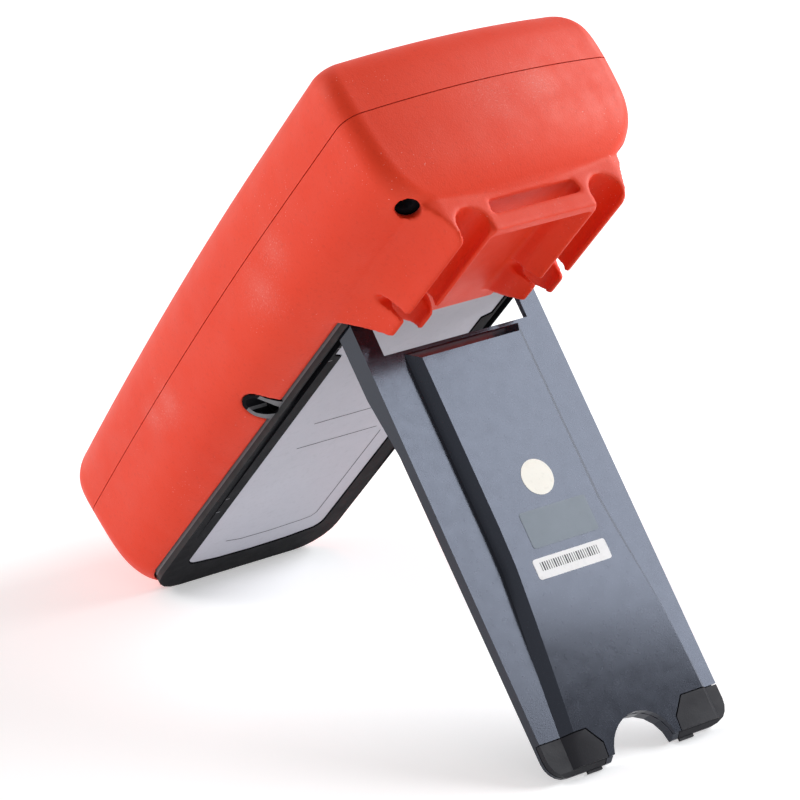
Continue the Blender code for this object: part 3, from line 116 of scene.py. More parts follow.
# Probe holders with their channels, fingers and slots, and the strap bar between them
HOLDER_X = 0.4936 * HEAD_HALF_WIDTH
CHANNEL_RADIUS = 5.15 * MM
CHANNEL_Z = 7.2 * MM
MOUTH_HALF = 4.0 * MM
LIP_Z = 11.2 * MM
LIP_ROUND = 0.8 * MM
HOLDER_Y1 = Y_TOP - 8.1 * MM
HOLDER_END_ROUND = 4.2 * MM
HOLDER_CORNER = 9.0 * MM
HOLDER_INNER_X = HOLDER_X - 8.4 * MM
HOLDER_INNER_LIP_X = HOLDER_X - 5.7 * MM
HOLDER_OUTER_LIP_X = HOLDER_X + 5.8 * MM
HOLDER_OUTER_X = HOLDER_X + 14.2 * MM
HOLDER_ROOT_Z = -5.0 * MM
HOLDER_TAIL = 6 * MM
HOLDER_PLAN_TAIL = 8 * MM
HOLDER_PULL = (HOLDER_OUTER_LIP_X + 1.6 * MM, 2.0 * MM)
FINGER_TIP_Y = HINGE_Y + 12.4 * MM
FINGER_BASE = (HINGE_Y + 3.9 * MM, -0.6 * MM)
FINGER_ROUND = 1.6 * MM
FINGER_ROOT = 4 * MM
SLOT_Y = HINGE_Y + 21.8 * MM
SLOT_LEAN = 1.2 * MM
SLOT_HALF = 1.4 * MM
SLOT_FLOOR_Z = 1.6 * MM
BAR_THICKNESS = 3.5 * MM
BAR_Z = (5.7 * MM, 10.8 * MM)
BAR_BITE = 3.0 * MM
FIELD_LOW_Z = -1 * MM
FIELD_START_Z = HEAD_PAD_Z - 0.2 * MM
FIELD_RISE_Z = 1.7 * MM
FIELD_SHORT = 0.05 * MM
HINGE_NOTCH_X = ARM_INNER_X - 4.7 * MM
FIELD_STEP = 1.0 * MM

# Inlet in the left flank, and the head screws' holes in the shoulders
JACK_Y = HINGE_Y - 42.0 * MM
JACK_RING_Z = -3.6 * MM
JACK_RING_RADIUS = 4.5 * MM
JACK_RING_X = FRAME_HALF_WIDTH - 2.9 * MM
PORT_CENTRE = (HEAD_HALF_WIDTH - 9.9 * MM, Y_TOP - 12.0 * MM, -2.8 * MM)
PORT_AXIS = (0.5, 0.45, 0.74)
PORT_RADIUS = 3.5 * MM
PORT_REACH = 8.0 * MM

# Points along each stretch of the plan outline
FOOT_STEPS = 6
CORNER_STEPS = 12
SIDE_STEPS = 20
DOME_STEPS = 8
FILLET_STEPS = 5
# Rear half: share of the way in to the opening, inset at the head, height
REAR_PROFILE = (
    (0.00, 0.0, PARTING_Z + GAP / 2), (0.02, 0.3 * MM, -24.0 * MM), (0.05, 0.6 * MM, -19.0 * MM),
    (0.115, 1.2 * MM, -14.5 * MM), (0.235, 2.3 * MM, -10.3 * MM), (0.42, 3.7 * MM, -6.8 * MM),
    (0.64, 5.2 * MM, -4.0 * MM), (0.86, 6.3 * MM, -2.3 * MM), (1.00, 6.8 * MM, -1.7 * MM),
    (1.30, 8.2 * MM, HEAD_PAD_Z),
)
# Front half: inset, height at the head
FRONT_PROFILE = (
    (0.0, PARTING_Z - GAP / 2), (0.0, -36.0 * MM), (0.6 * MM, -41.0 * MM),
    (2.4 * MM, -45.0 * MM), (5.2 * MM, -47.6 * MM), (8.6 * MM, FRONT_Z_HEAD),
)

# How fine the shown pieces are
SHARP_ANGLE = math.radians(35)
FLAT_ANGLE = math.radians(0.6)
ROUND_ANGLE = 38  # degrees
PARTING_SPARE = 2.0 * MM
RED_VOXEL = 0.6 * MM
RED_RELAX = 4
RED_FACES = 185000
LOOSE = []  # solids that only serve to make the next piece


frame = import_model()


def meter_matrix():
    """The leaning meter's frame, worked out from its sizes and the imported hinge."""
    along = Vector((0, -math.cos(STAND_ANGLE), math.sin(STAND_ANGLE)))
    out = Vector((0, math.sin(STAND_ANGLE), math.cos(STAND_ANGLE)))
    hinge = Vector((0, HINGE_Y, HINGE_Z))
    tip = hinge + along * (STAND_LENGTH + NUB_HEIGHT) + out * (STAND_EDGE + NUB_LIFT)
    angle = math.atan2(tip.z - FRAME_Z, tip.y - FRAME_Y_FOOT)
    c, s = math.cos(angle), math.sin(angle)
    turn = Matrix(((-1, 0, 0), (0, c, s), (0, s, -c)))
    joint = [j for j in frame["joints"] if j["name"] == "stand_hinge"][0]
    shift = Vector(joint["pos_m"]) - turn @ hinge
    return Matrix.Translation(shift) @ turn.to_4x4()


METER = meter_matrix()
# Stand coordinates: X as the meter's, Y from the pin to the foot, Z out of the shown face
STAND_TURN = Matrix(((1, 0, 0), (0, -math.cos(STAND_ANGLE), math.sin(STAND_ANGLE)),
                     (0, math.sin(STAND_ANGLE), math.cos(STAND_ANGLE))))
STAND = METER @ Matrix.Translation((0, HINGE_Y, HINGE_Z)) @ STAND_TURN.to_4x4()
CAMERA_PLACE = Vector((-724.475, 1016.073, 404.417)) * MM
CAMERA_ROWS = Matrix(((0.776529, 0.411232, 0.477379), (-0.221207, -0.53149, 0.817671),
                      (0.589974, -0.740545, -0.32175)))
FOCAL_PIXELS = 4407.7
SENSOR = 36.0
PICTURE_WIDTH = 800


def make_camera():
    turn = METER.to_3x3()
    right, down, ahead = (turn @ row for row in CAMERA_ROWS)
    data = bpy.data.cameras.new("camera")
    data.sensor_width = SENSOR
    data.lens = FOCAL_PIXELS / PICTURE_WIDTH * SENSOR
    data.clip_end = 50.0
    cam = bpy.data.objects.new("camera", data)
    basis = Matrix((right, -down, -ahead)).transposed()
    cam.matrix_world = Matrix.Translation(METER @ CAMERA_PLACE) @ basis.to_4x4()
    bpy.context.scene.collection.objects.link(cam)
    bpy.context.scene.camera = cam


make_camera()


def tool(mesh):
    """A loose solid in the meter's frame."""
    item = bpy.data.objects.new("tool", mesh)
    bpy.context.scene.collection.objects.link(item)
    LOOSE.append(item)
    return item


def combine(target, other, operation):
    step = target.modifiers.new(operation.lower(), "BOOLEAN")
    step.operation = operation
    step.solver = "EXACT"
    step.object = other


def cut(target, *others):
    for other in others:
        combine(target, other, "DIFFERENCE")


def join(target, *others):
    for other in others:
        combine(target, other, "UNION")


def common(target, *others):
    for other in others:
        combine(target, other, "INTERSECT")


def bake(item):
    """Turn an object's modifiers into plain mesh data, in its own frame."""
    graph = bpy.context.evaluated_depsgraph_get()
    mesh = bpy.data.meshes.new_from_object(item.evaluated_get(graph))
    item.modifiers.clear()
    item.data = mesh
    return item


def mesh_from(work):
    bmesh.ops.recalc_face_normals(work, faces=work.faces)
    mesh = bpy.data.meshes.new("solid")
    work.to_mesh(mesh)
    work.free()
    return mesh


def box(low, high):
    """A block between two corners."""
    work = bmesh.new()
    bmesh.ops.create_cube(work, size=1.0)
    size = [b - a for a, b in zip(low, high)]
    centre = [(a + b) / 2 for a, b in zip(low, high)]
    bmesh.ops.scale(work, vec=size, verts=work.verts)
    bmesh.ops.translate(work, vec=centre, verts=work.verts)
    return tool(mesh_from(work))


def rod(start, end, radius, steps):
    """A cylinder between two points."""
    start, end = Vector(start), Vector(end)
    work = bmesh.new()
    bmesh.ops.create_cone(
        work, cap_ends=True, segments=steps, radius1=radius, radius2=radius,
        depth=(end - start).length)
    turn = (end - start).to_track_quat("Z", "Y").to_matrix().to_4x4()
    turn = Matrix.Translation((start + end) / 2) @ turn
    bmesh.ops.transform(work, matrix=turn, verts=work.verts)
    return tool(mesh_from(work))


# Where a flat outline's own axes point: plan (X, Y), side (Y, Z) and end (X, Z)
PLANES = {
    "plan": Matrix(((1, 0, 0), (0, 1, 0), (0, 0, 1))),
    "side": Matrix(((0, 0, 1), (1, 0, 0), (0, 1, 0))),
    "end": Matrix(((1, 0, 0), (0, 0, -1), (0, 1, 0))),
}


def plate(outline, low, high, plane="plan"):
    """A flat outline, extruded between two heights along its plane's normal."""
    curve = bpy.data.curves.new("outline", "CURVE")
    curve.dimensions = "2D"
    curve.fill_mode = "BOTH"
    curve.extrude = (high - low) / 2
    spline = curve.splines.new("POLY")
    spline.points.add(len(outline) - 1)
    for point, (a, b) in zip(spline.points, outline):
        point.co = (a, b, 0.0, 1.0)
    spline.use_cyclic_u = True
    drawn = bpy.data.objects.new("outline", curve)
    bpy.context.scene.collection.objects.link(drawn)
    graph = bpy.context.evaluated_depsgraph_get()
    mesh = bpy.data.meshes.new_from_object(drawn.evaluated_get(graph))
    bpy.data.objects.remove(drawn)
    work = bmesh.new()
    work.from_mesh(mesh)
    bmesh.ops.remove_doubles(work, verts=work.verts, dist=MERGE)
    bmesh.ops.translate(work, vec=(0, 0, (low + high) / 2), verts=work.verts)
    bmesh.ops.transform(work, matrix=PLANES[plane].to_4x4(), verts=work.verts)
    return tool(mesh_from(work))


def arc(centre, radius, start, end, steps):
    """Points on an arc, angles in degrees, both ends included."""
    points = []
    for i in range(steps + 1):
        angle = math.radians(start + (end - start) * i / steps)
        points.append((centre[0] + radius * math.cos(angle), centre[1] + radius * math.sin(angle)))
    return points


def half_width(y):
    """Half width of the housing at the parting plane."""
    share = min(max(y / WIDEST_Y, 0.0), 1.0)
    width = FOOT_HALF_WIDTH + (HEAD_HALF_WIDTH - FOOT_HALF_WIDTH) * (1 - (1 - share) ** 1.75)
    past = max(y - WIDEST_Y, 0.0) / (Y_TOP - WIDEST_Y)
    return width - HEAD_TAPER * past ** 2


def outline_half(side, top, foot, share=0.0):
    """Right half of the plan outline, foot to head, drawn in by the given insets.

    share blends the side towards the straight edge of the rear opening.
    """
    y_top = Y_TOP - top
    y_foot = Y_FOOT + foot

    def edge(y):
        width = half_width(y)
        return width - share * (width - RED_EDGE_HALF_WIDTH) - side

    def dome(x):
        return y_top - DOME * x * x

    def bow(x):
        return y_foot + FOOT_BOW * x * x

    foot_x = edge(y_foot + FOOT_CORNER) - FOOT_CORNER
    foot_y = bow(foot_x) + FOOT_CORNER
    head_x = edge(y_top - HEAD_CORNER) - HEAD_CORNER
    head_y = dome(head_x) - HEAD_CORNER
    points = [(foot_x * i / FOOT_STEPS, bow(foot_x * i / FOOT_STEPS)) for i in range(FOOT_STEPS)]
    for i in range(CORNER_STEPS + 1):
        angle = math.radians(-90 + 90 * i / CORNER_STEPS)
        grow = (edge(foot_y) - foot_x) * math.cos(angle)
        points.append((foot_x + grow, foot_y + FOOT_CORNER * math.sin(angle)))
    for i in range(1, SIDE_STEPS):
        y = foot_y + (head_y - foot_y) * i / SIDE_STEPS
        points.append((edge(y), y))
    for i in range(CORNER_STEPS + 1):
        angle = math.radians(90 * i / CORNER_STEPS)
        grow = (edge(head_y) - head_x) * math.cos(angle)
        points.append((head_x + grow, head_y + HEAD_CORNER * math.sin(angle)))
    for i in range(1, DOME_STEPS + 1):
        x = head_x * (1 - i / DOME_STEPS)
        points.append((x, dome(x)))
    return points


def whole(half):
    """Mirror a half outline that starts and ends on the centre line."""
    return half + [(-x, y) for x, y in reversed(half[1:-1])]


def loft(rings, height=lambda y, z: z):
    """Skin between outlines of equal count; each ring is (outline, level)."""
    work = bmesh.new()
    rows = []
    for outline, level in rings:
        rows.append([work.verts.new((x, y, height(y, level))) for x, y in outline])
    for lower, upper in zip(rows, rows[1:]):
        for i in range(len(lower)):
            j = (i + 1) % len(lower)
            work.faces.new((lower[i], lower[j], upper[j], upper[i]))
    bmesh.ops.triangulate(work, faces=work.faces)
    work.faces.new(rows[0])
    work.faces.new(rows[-1])
    return tool(mesh_from(work))


def profile_normals(points):
    """Inward normals of an (inset, height) profile, at each of its points."""
    normals = []
    for i in range(len(points)):
        before = points[max(i - 1, 0)]
        after = points[min(i + 1, len(points) - 1)]
        run = (after[0] - before[0], after[1] - before[1])
        size = math.hypot(*run)
        normals.append((abs(run[1]) / size, -run[0] / size))
    return normals


def rear_cavity():
    """The room inside the red rear half, carried past its open edge."""
    spread = HEAD_HALF_WIDTH - RED_EDGE_HALF_WIDTH
    shape = [(share * spread, z) for share, top, z in REAR_PROFILE]
    rings = []
    for (share, top, z), normal in zip(REAR_PROFILE, profile_normals(shape)):
        inward = RED_WALL * normal[0]
        level = z + RED_WALL * normal[1]
        if z == REAR_PROFILE[0][2]:
            level = z - CAVITY_START
        if z == HEAD_PAD_Z:
            inward, level = RED_WALL / 2, HEAD_PAD_Z - RED_WALL
        foot = FOOT_INSET * share
        rings.append((whole(outline_half(inward, top + inward, foot + inward, share)), level))
    return loft(rings)


def front_height(y, z):
    """The front half grows deeper towards the head."""
    foot_share = (FRONT_Z_FOOT - PARTING_Z) / (FRONT_Z_HEAD - PARTING_Z)
    share = foot_share + (1 - foot_share) * y / Y_TOP
    return PARTING_Z + (z - PARTING_Z) * share


def front_cavity():
    """The room inside the red front half, carried past its open edge."""
    rings = []
    for (inset, z), normal in zip(FRONT_PROFILE, profile_normals(FRONT_PROFILE)):
        inward = inset + RED_WALL * normal[0]
        level = z + RED_WALL * abs(normal[1])
        if z == FRONT_PROFILE[0][1]:
            level = z + CAVITY_START
        if z == FRONT_Z_HEAD:
            inward, level = inset + RED_WALL / 2, z + RED_WALL
        rings.append((whole(outline_half(inward, inward, inward)), level))
    return loft(rings, front_height)


def rear_opening():
    """Outline of the red skin's opening: straight at the grey panel, higher at the hinges."""
    half = FRAME_HALF_WIDTH + GAP
    foot = FRAME_Y_FOOT - GAP
    corner = FRAME_CORNER + GAP
    head_corner = FRAME_HEAD_CORNER + GAP
    right = arc((half - corner, foot + corner), corner, -90, 0, 5)
    right += arc((half - head_corner, HINGE_NOTCH_Y - head_corner), head_corner, 0, 90, 3)
    right += [(HINGE_NOTCH_X + FIELD_STEP, HINGE_NOTCH_Y), (HINGE_NOTCH_X, LABEL_TOP_Y)]
    return right + [(-x, y) for x, y in reversed(right)]


def holder_section():
    """End outline of one probe holder with its keyhole channel, inner side first."""
    half_angle = math.degrees(math.asin(MOUTH_HALF / CHANNEL_RADIUS))
    points = [(HOLDER_INNER_X, HOLDER_ROOT_Z), (HOLDER_INNER_X + 0.15 * MM, FIELD_RISE_Z)]
    points += [(HOLDER_INNER_X + 0.6 * MM, BAR_Z[0])]
    points += [(HOLDER_INNER_LIP_X, LIP_Z - LIP_ROUND), (HOLDER_INNER_LIP_X + LIP_ROUND, LIP_Z)]
    points += [(HOLDER_X - MOUTH_HALF - LIP_ROUND, LIP_Z)]
    points += arc((HOLDER_X, CHANNEL_Z), CHANNEL_RADIUS, 90 + half_angle, 450 - half_angle, 14)
    points += [(HOLDER_X + MOUTH_HALF + LIP_ROUND, LIP_Z)]
    points += [(HOLDER_OUTER_LIP_X - LIP_ROUND, LIP_Z), (HOLDER_OUTER_LIP_X, LIP_Z - LIP_ROUND)]
    points += flank_fillet()
    return points


def flank_fillet():
    """The outer side of a holder flows into the flank in a hollow curve."""
    start = Vector((HOLDER_OUTER_LIP_X, LIP_Z - LIP_ROUND))
    pull = Vector(HOLDER_PULL)
    end = Vector((HOLDER_OUTER_X, HOLDER_ROOT_Z))
    points = []
    for i in range(1, FILLET_STEPS + 1):
        t = i / FILLET_STEPS
        point = start * (1 - t) ** 2 + pull * 2 * t * (1 - t) + end * t * t
        points.append((point.x, point.y))
    return points


def holder_side():
    """Side outline of a holder: rounded end, the slot of its finger, and the finger's slant."""
    above = LIP_Z + GAP
    below = HOLDER_ROOT_Z - SPARE
    middle = HOLDER_Y1 - HOLDER_END_ROUND
    points = [FINGER_BASE, (FINGER_BASE[0] - FINGER_ROOT, below), (HOLDER_Y1, below)]
    points += arc((middle, LIP_Z - HOLDER_END_ROUND), HOLDER_END_ROUND, 0, 75, 4)
    points += [(middle - 0.4 * MM, above), (SLOT_Y + 2.8 * SLOT_HALF, above)]
    points += arc((SLOT_Y + 2 * SLOT_HALF, LIP_Z - SLOT_HALF), SLOT_HALF, 75, 180, 3)
    points += arc((SLOT_Y - SLOT_LEAN, SLOT_FLOOR_Z + SLOT_HALF), SLOT_HALF, 0, -180, 6)
    points += arc((SLOT_Y - 2 * SLOT_HALF, LIP_Z - SLOT_HALF), SLOT_HALF, 0, 105, 3)
    points += [(SLOT_Y - 2.8 * SLOT_HALF, above), (FINGER_TIP_Y + 1.5 * FINGER_ROUND, above)]
    points += arc((FINGER_TIP_Y + FINGER_ROUND, LIP_Z - FINGER_ROUND), FINGER_ROUND, 105, 150, 2)
    return points


def build_holder(side):
    """One probe holder: keyhole section, cut to its side outline and rounded in plan."""
    section = [(side * x, z) for x, z in holder_section()]
    holder = plate(section, -HOLDER_Y1 - SPARE, -(FINGER_BASE[0] - HOLDER_TAIL), "end")
    inner = HOLDER_INNER_X - 2 * SPARE
    edge = HOLDER_OUTER_X + SPARE
    tail_y = FINGER_BASE[0] - HOLDER_PLAN_TAIL
    head_y = HOLDER_Y1 + PRESS
    low, high = sorted((side * inner, side * (HOLDER_OUTER_X + 2 * SPARE)))
    plan = [(inner, tail_y), (inner, head_y)]
    plan += arc((edge - HOLDER_CORNER, head_y - HOLDER_CORNER), HOLDER_CORNER, 90, 0, 4)
    plan += [(edge, tail_y)]
    keep = plate([(side * x, y) for x, y in plan], 2 * HOLDER_ROOT_Z, 2 * LIP_Z)
    common(holder, plate(holder_side(), low, high, "side"), keep)
    return bake(holder)


def jack_window():
    """U-shaped block round the inlet, open to the rear edge."""
    radius = JACK_RING_RADIUS + GAP
    shape = arc((JACK_Y, JACK_RING_Z), radius, 180, 360, 10)
    shape += [(JACK_Y + radius, 3 * SPARE), (JACK_Y - radius, 3 * SPARE)]
    return plate(shape, -half_width(JACK_Y) - 2 * SPARE, -JACK_RING_X + GAP, "side")


def shoulder_port(side):
    """Bore for the head screw's hole in the shoulder."""
    centre = Vector((side * PORT_CENTRE[0], PORT_CENTRE[1], PORT_CENTRE[2]))
    reach = Vector((side * PORT_AXIS[0], PORT_AXIS[1], PORT_AXIS[2])) * PORT_REACH
    return rod(centre - reach, centre + reach, PORT_RADIUS - PRESS, 20)


def swept_hinge(side):
    """Room that one arm of the stand sweeps round its pin."""
    inner, outer = side * (ARM_INNER_X - GAP), side * (STAND_HALF_WIDTH + GAP)
    room = rod((inner, HINGE_Y, HINGE_Z), (outer, HINGE_Y, HINGE_Z), STAND_FACE + SWING_GAP, 32)
    low = (-FAR, HINGE_Y - SWING_REACH, -SWING_REACH)
    high = (FAR, HINGE_Y + SWING_REACH, SWING_REACH)
    common(room, box(low, high))
    return bake(room)


def plateau_half(y):
    """Half width of the raised centre at its base."""
    share = (y - PLATEAU_WIDEN_START) / (PLATEAU_WIDEN_END - PLATEAU_WIDEN_START)
    share = min(max(share, 0.0), 1.0)
    widen = PLATEAU_HALF_FOOT - PLATEAU_HALF_TOP
    return PLATEAU_HALF_TOP + widen * share * share * (3 - 2 * share)


def between(a, b, c, d, t):
    """Smooth curve from b to c, led by their neighbours a and d."""
    return tuple(0.5 * (2 * q + (r - p) * t + (2 * p - 5 * q + 4 * r - s) * t * t
                        + (3 * q - p - 3 * r + s) * t ** 3) for p, q, r, s in zip(a, b, c, d))


def resample(points, steps=4):
    """A finer profile through the given points."""
    fine = []
    for i in range(len(points) - 1):
        a, d = points[max(i - 1, 0)], points[min(i + 2, len(points) - 1)]
        fine += [between(a, points[i], points[i + 1], d, k / steps) for k in range(steps)]
    return fine + [points[-1]]


def fine_rear_skin():
    """Solid of the rear half, carried a little past the parting plane."""
    rows = resample(REAR_PROFILE)
    rows[0] = (*rows[0][:2], rows[0][2] - PARTING_SPARE)
    rings = []
    for share, top, z in rows:
        rings.append((whole(outline_half(0.0, top, FOOT_INSET * share, share)), z))
    return loft(rings)


def fine_front_skin():
    rows = resample(FRONT_PROFILE)
    return loft([(whole(outline_half(inset, inset, inset)), z) for inset, z in rows], front_height)


def modify(item, kind, **settings):
    step = item.modifiers.new(kind.lower(), kind)
    for key, value in settings.items():
        setattr(step, key, value)


def shade(mesh, angle=SHARP_ANGLE):
    """Shade smooth, with edges above the angle kept sharp."""
    work = bmesh.new()
    work.from_mesh(mesh)
    for face in work.faces:
        face.smooth = True
    for edge in work.edges:
        edge.smooth = len(edge.link_faces) == 2 and edge.calc_face_angle() < angle
    work.to_mesh(mesh)
    work.free()


def open_edges(mesh):
    work = bmesh.new()
    work.from_mesh(mesh)
    count = sum(1 for edge in work.edges if len(edge.link_faces) != 2)
    work.free()
    return count


def settle(piece, body, material, nodes):
    """Give a piece its material and its body, and hide the nodes it stands for."""
    mesh = piece.data
    mesh.materials.clear()
    mesh.materials.append(material)
    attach(piece, body)
    if nodes:
        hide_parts(*nodes)
    print(piece.name, len(mesh.polygons), "open edges", open_edges(mesh))


def finish_piece(item, name, body, material, matrix, nodes):
    """Carry a solid into the world, and ride it on its body."""
    mesh = item.data
    mesh.transform(matrix)
    if matrix.determinant() < 0:
        mesh.flip_normals()
    mesh.name = name
    piece = bpy.data.objects.new(name, mesh)
    bpy.context.scene.collection.objects.link(piece)
    for loose in LOOSE:
        bpy.data.objects.remove(loose)
    LOOSE.clear()
    settle(piece, body, material, nodes)


def close_plane(mesh, place, normal):
    """Cut a closed mesh flat at a plane, and close it there."""
    work = bmesh.new()
    work.from_mesh(mesh)
    geometry = [*work.verts, *work.edges, *work.faces]
    done = bmesh.ops.bisect_plane(
        work, geom=geometry, plane_co=place, plane_no=normal, clear_outer=True)
    rim = [e for e in done["geom_cut"] if isinstance(e, bmesh.types.BMEdge)]
    bmesh.ops.triangle_fill(work, edges=rim, use_beauty=True, use_dissolve=False)
    bmesh.ops.recalc_face_normals(work, faces=work.faces)
    work.to_mesh(mesh)
    work.free()


def make_rear_overmould(material):
    """The red rear half, remeshed and relaxed so that all its edges are soft."""
    skin = fine_rear_skin()
    end_y = HOLDER_Y1 - FIELD_SHORT
    start_y = LABEL_TOP_Y - SPARE
    field = [(start_y, FIELD_LOW_Z), (end_y, FIELD_LOW_Z),
             (end_y, FIELD_RISE_Z), (start_y, FIELD_START_Z)]
    join(skin, plate(field, -HOLDER_X, HOLDER_X, "side"))
    for side in (-1, 1):
        join(skin, build_holder(side))
    reach = HOLDER_INNER_X + BAR_BITE
    join(skin, box((-reach, HOLDER_Y1 - BAR_THICKNESS, BAR_Z[0]), (reach, end_y, BAR_Z[1])))
    cut(skin, rear_cavity(), plate(rear_opening(), *OPENING_Z), jack_window())
    for side in (-1, 1):
        cut(skin, swept_hinge(side), shoulder_port(side))
    bake(skin)
    modify(skin, "REMESH", mode="VOXEL", voxel_size=RED_VOXEL, use_smooth_shade=True)
    modify(skin, "SMOOTH", factor=0.5, iterations=RED_RELAX)
    bake(skin)
    close_plane(skin.data, (0, 0, PARTING_Z + GAP / 2), (0, 0, -1))
    modify(skin, "DECIMATE", ratio=min(1.0, RED_FACES / (2 * len(skin.data.polygons))))
    bake(skin)
    shade(skin.data)
    finish_piece(skin, "rear_shell", "housing", material, METER, ["rear_overmould"])


def make_front_overmould(material):
    """The red front half, open where the black front face stands in it."""
    skin = fine_front_skin()
    opening = whole(outline_half(PANEL_INSET, PANEL_INSET, PANEL_INSET))
    cut(skin, front_cavity(), plate(opening, -FAR, FRONT_LIP_Z))
    bake(skin)
    shade(skin.data)
    finish_piece(skin, "front_shell", "housing", material, METER, ["front_overmould"])


def rounded_copy(node, name, material, width, angle=ROUND_ANGLE, where=None, reshape=None):
    """A copy of a CAD node with its edges above an angle (degrees) rounded, to stand for it."""
    source = frame["nodes"][node]
    work = bmesh.new()
    work.from_mesh(source.data)
    bmesh.ops.remove_doubles(work, verts=work.verts, dist=MERGE)
    bmesh.ops.dissolve_limit(work, angle_limit=FLAT_ANGLE, verts=work.verts, edges=work.edges)
    if reshape:
        reshape(work)
    turn = METER.inverted()
    sharp = []
    for edge in work.edges:
        if len(edge.link_faces) != 2 or edge.calc_face_angle() < math.radians(angle):
            continue
        a, b = (turn @ vert.co for vert in edge.verts)
        if where is None or where(a, b):
            sharp.append(edge)
    bmesh.ops.bevel(work, geom=sharp, offset=width, offset_type="OFFSET", segments=2, profile=0.5,
                    affect="EDGES", clamp_overlap=True)
    bmesh.ops.recalc_face_normals(work, faces=work.faces)
    mesh = bpy.data.meshes.new(name)
    work.to_mesh(mesh)
    work.free()
    shade(mesh)
    piece = bpy.data.objects.new(name, mesh)
    bpy.context.scene.collection.objects.link(piece)
    modify(piece, "WEIGHTED_NORMAL", mode="FACE_AREA", weight=80, keep_sharp=True)
    bake(piece)
    settle(piece, source["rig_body"], material, [node])
    return piece


# ---- materials
# Where noise has most of its values, and the colour sockets of a Mix node
NOISE_RANGE = (0.3, 0.7)
MIX_A, MIX_B, MIX_RESULT = 6, 7, 2


class Surface:
    """A Principled material with helpers for layered detail."""

    def __init__(self, name, colour, roughness, metallic=0.0, specular=0.5):
        self.material = bpy.data.materials.new(name)
        self.material.use_nodes = True
        self.tree = self.material.node_tree
        self.shader = self.tree.nodes["Principled BSDF"]
        self.base = (*colour, 1.0)
        self.put("Base Color", self.base)
        self.put("Roughness", roughness)
        self.put("Metallic", metallic)
        self.put("Specular IOR Level", specular)
        self.colour = None
        self.normal = None
        self.place = self.tree.nodes.new("ShaderNodeTexCoord").outputs["Object"]

    def put(self, socket, value):
        self.shader.inputs[socket].default_value = value

    def node(self, kind, **settings):
        item = self.tree.nodes.new(kind)
        for key, value in settings.items():
            setattr(item, key, value)
        return item

    def link(self, start, end):
        self.tree.links.new(start, end)

    def noise(self, scale, detail=3.0, roughness=0.5, stretch=None):
        item = self.node("ShaderNodeTexNoise")
        item.inputs["Scale"].default_value = scale
        item.inputs["Detail"].default_value = detail
        item.inputs["Roughness"].default_value = roughness
        source = self.place
        if stretch:
            turn = self.node("ShaderNodeMapping")
            turn.inputs["Scale"].default_value = stretch
            self.link(self.place, turn.inputs["Vector"])
            source = turn.outputs["Vector"]
        self.link(source, item.inputs["Vector"])
        return item.outputs["Fac"]

    def remap(self, value, low, high, to_low=0.0, to_high=1.0):
        item = self.node("ShaderNodeMapRange")
        item.inputs["From Min"].default_value = low
        item.inputs["From Max"].default_value = high
        item.inputs["To Min"].default_value = to_low
        item.inputs["To Max"].default_value = to_high
        self.link(value, item.inputs["Value"])
        return item.outputs["Result"]

    def math(self, operation, a, b):
        item = self.node("ShaderNodeMath", operation=operation)
        for socket, value in zip(item.inputs, (a, b)):
            if isinstance(value, (int, float)):
                socket.default_value = value
            else:
                self.link(value, socket)
        return item.outputs["Value"]

    def tint(self, mask, colour):
        """Lay a colour over the base where the mask is 1."""
        mix = self.node("ShaderNodeMix", data_type="RGBA")
        self.link(mask, mix.inputs[0])
        if self.colour:
            self.link(self.colour, mix.inputs[MIX_A])
        else:
            mix.inputs[MIX_A].default_value = self.base
        mix.inputs[MIX_B].default_value = (*colour, 1.0)
        self.colour = mix.outputs[MIX_RESULT]
        self.link(self.colour, self.shader.inputs["Base Color"])

    def bump(self, height, strength, distance):
        item = self.node("ShaderNodeBump")
        item.inputs["Strength"].default_value = strength
        item.inputs["Distance"].default_value = distance
        self.link(height, item.inputs["Height"])
        if self.normal:
            self.link(self.normal, item.inputs["Normal"])
        self.normal = item.outputs["Normal"]
        self.link(self.normal, self.shader.inputs["Normal"])

    def vary_roughness(self, mask, low, high):
        self.link(self.remap(mask, *NOISE_RANGE, low, high), self.shader.inputs["Roughness"])

    def near(self, centre, radius):
        """1 at a world point, falling to 0 at the radius."""
        item = self.node("ShaderNodeVectorMath", operation="DISTANCE")
        self.link(self.place, item.inputs[0])
        item.inputs[1].default_value = centre
        return self.remap(item.outputs["Value"], 0.0, radius, 1.0, 0.0)

    def above(self, height, blur):
        """1 above a height over the meter's rear plane, 0 below it."""
        outwards = METER.to_3x3() @ Vector((0, 0, 1))
        item = self.node("ShaderNodeVectorMath", operation="DOT_PRODUCT")
        self.link(self.place, item.inputs[0])
        item.inputs[1].default_value = outwards
        start = METER.translation.dot(outwards) + height
        return self.remap(item.outputs["Value"], start, start + blur)


# Dusty scuffs on the red shell, in meter coordinates, with their reach (mm)
SCUFFS = (((-2.0, 203.0, -24.0), 11.0), ((14.0, 205.0, -25.0), 10.0), ((-44.5, 150.0, -24.0), 9.0),
          ((-43.5, 136.0, -20.0), 12.0), ((-42.0, 70.0, -25.0), 9.0), ((-41.5, 60.0, -27.0), 8.0))
RED_BASE = (0.76, 0.032, 0.004)
RED_LIGHT = (0.79, 0.040, 0.007)
RED_DARK = (0.58, 0.020, 0.003)
RED_SPECK = (0.86, 0.55, 0.50)
SCUFF_HAIR = (0.90, 0.62, 0.56)
SCUFF_DUST = (0.90, 0.60, 0.55)


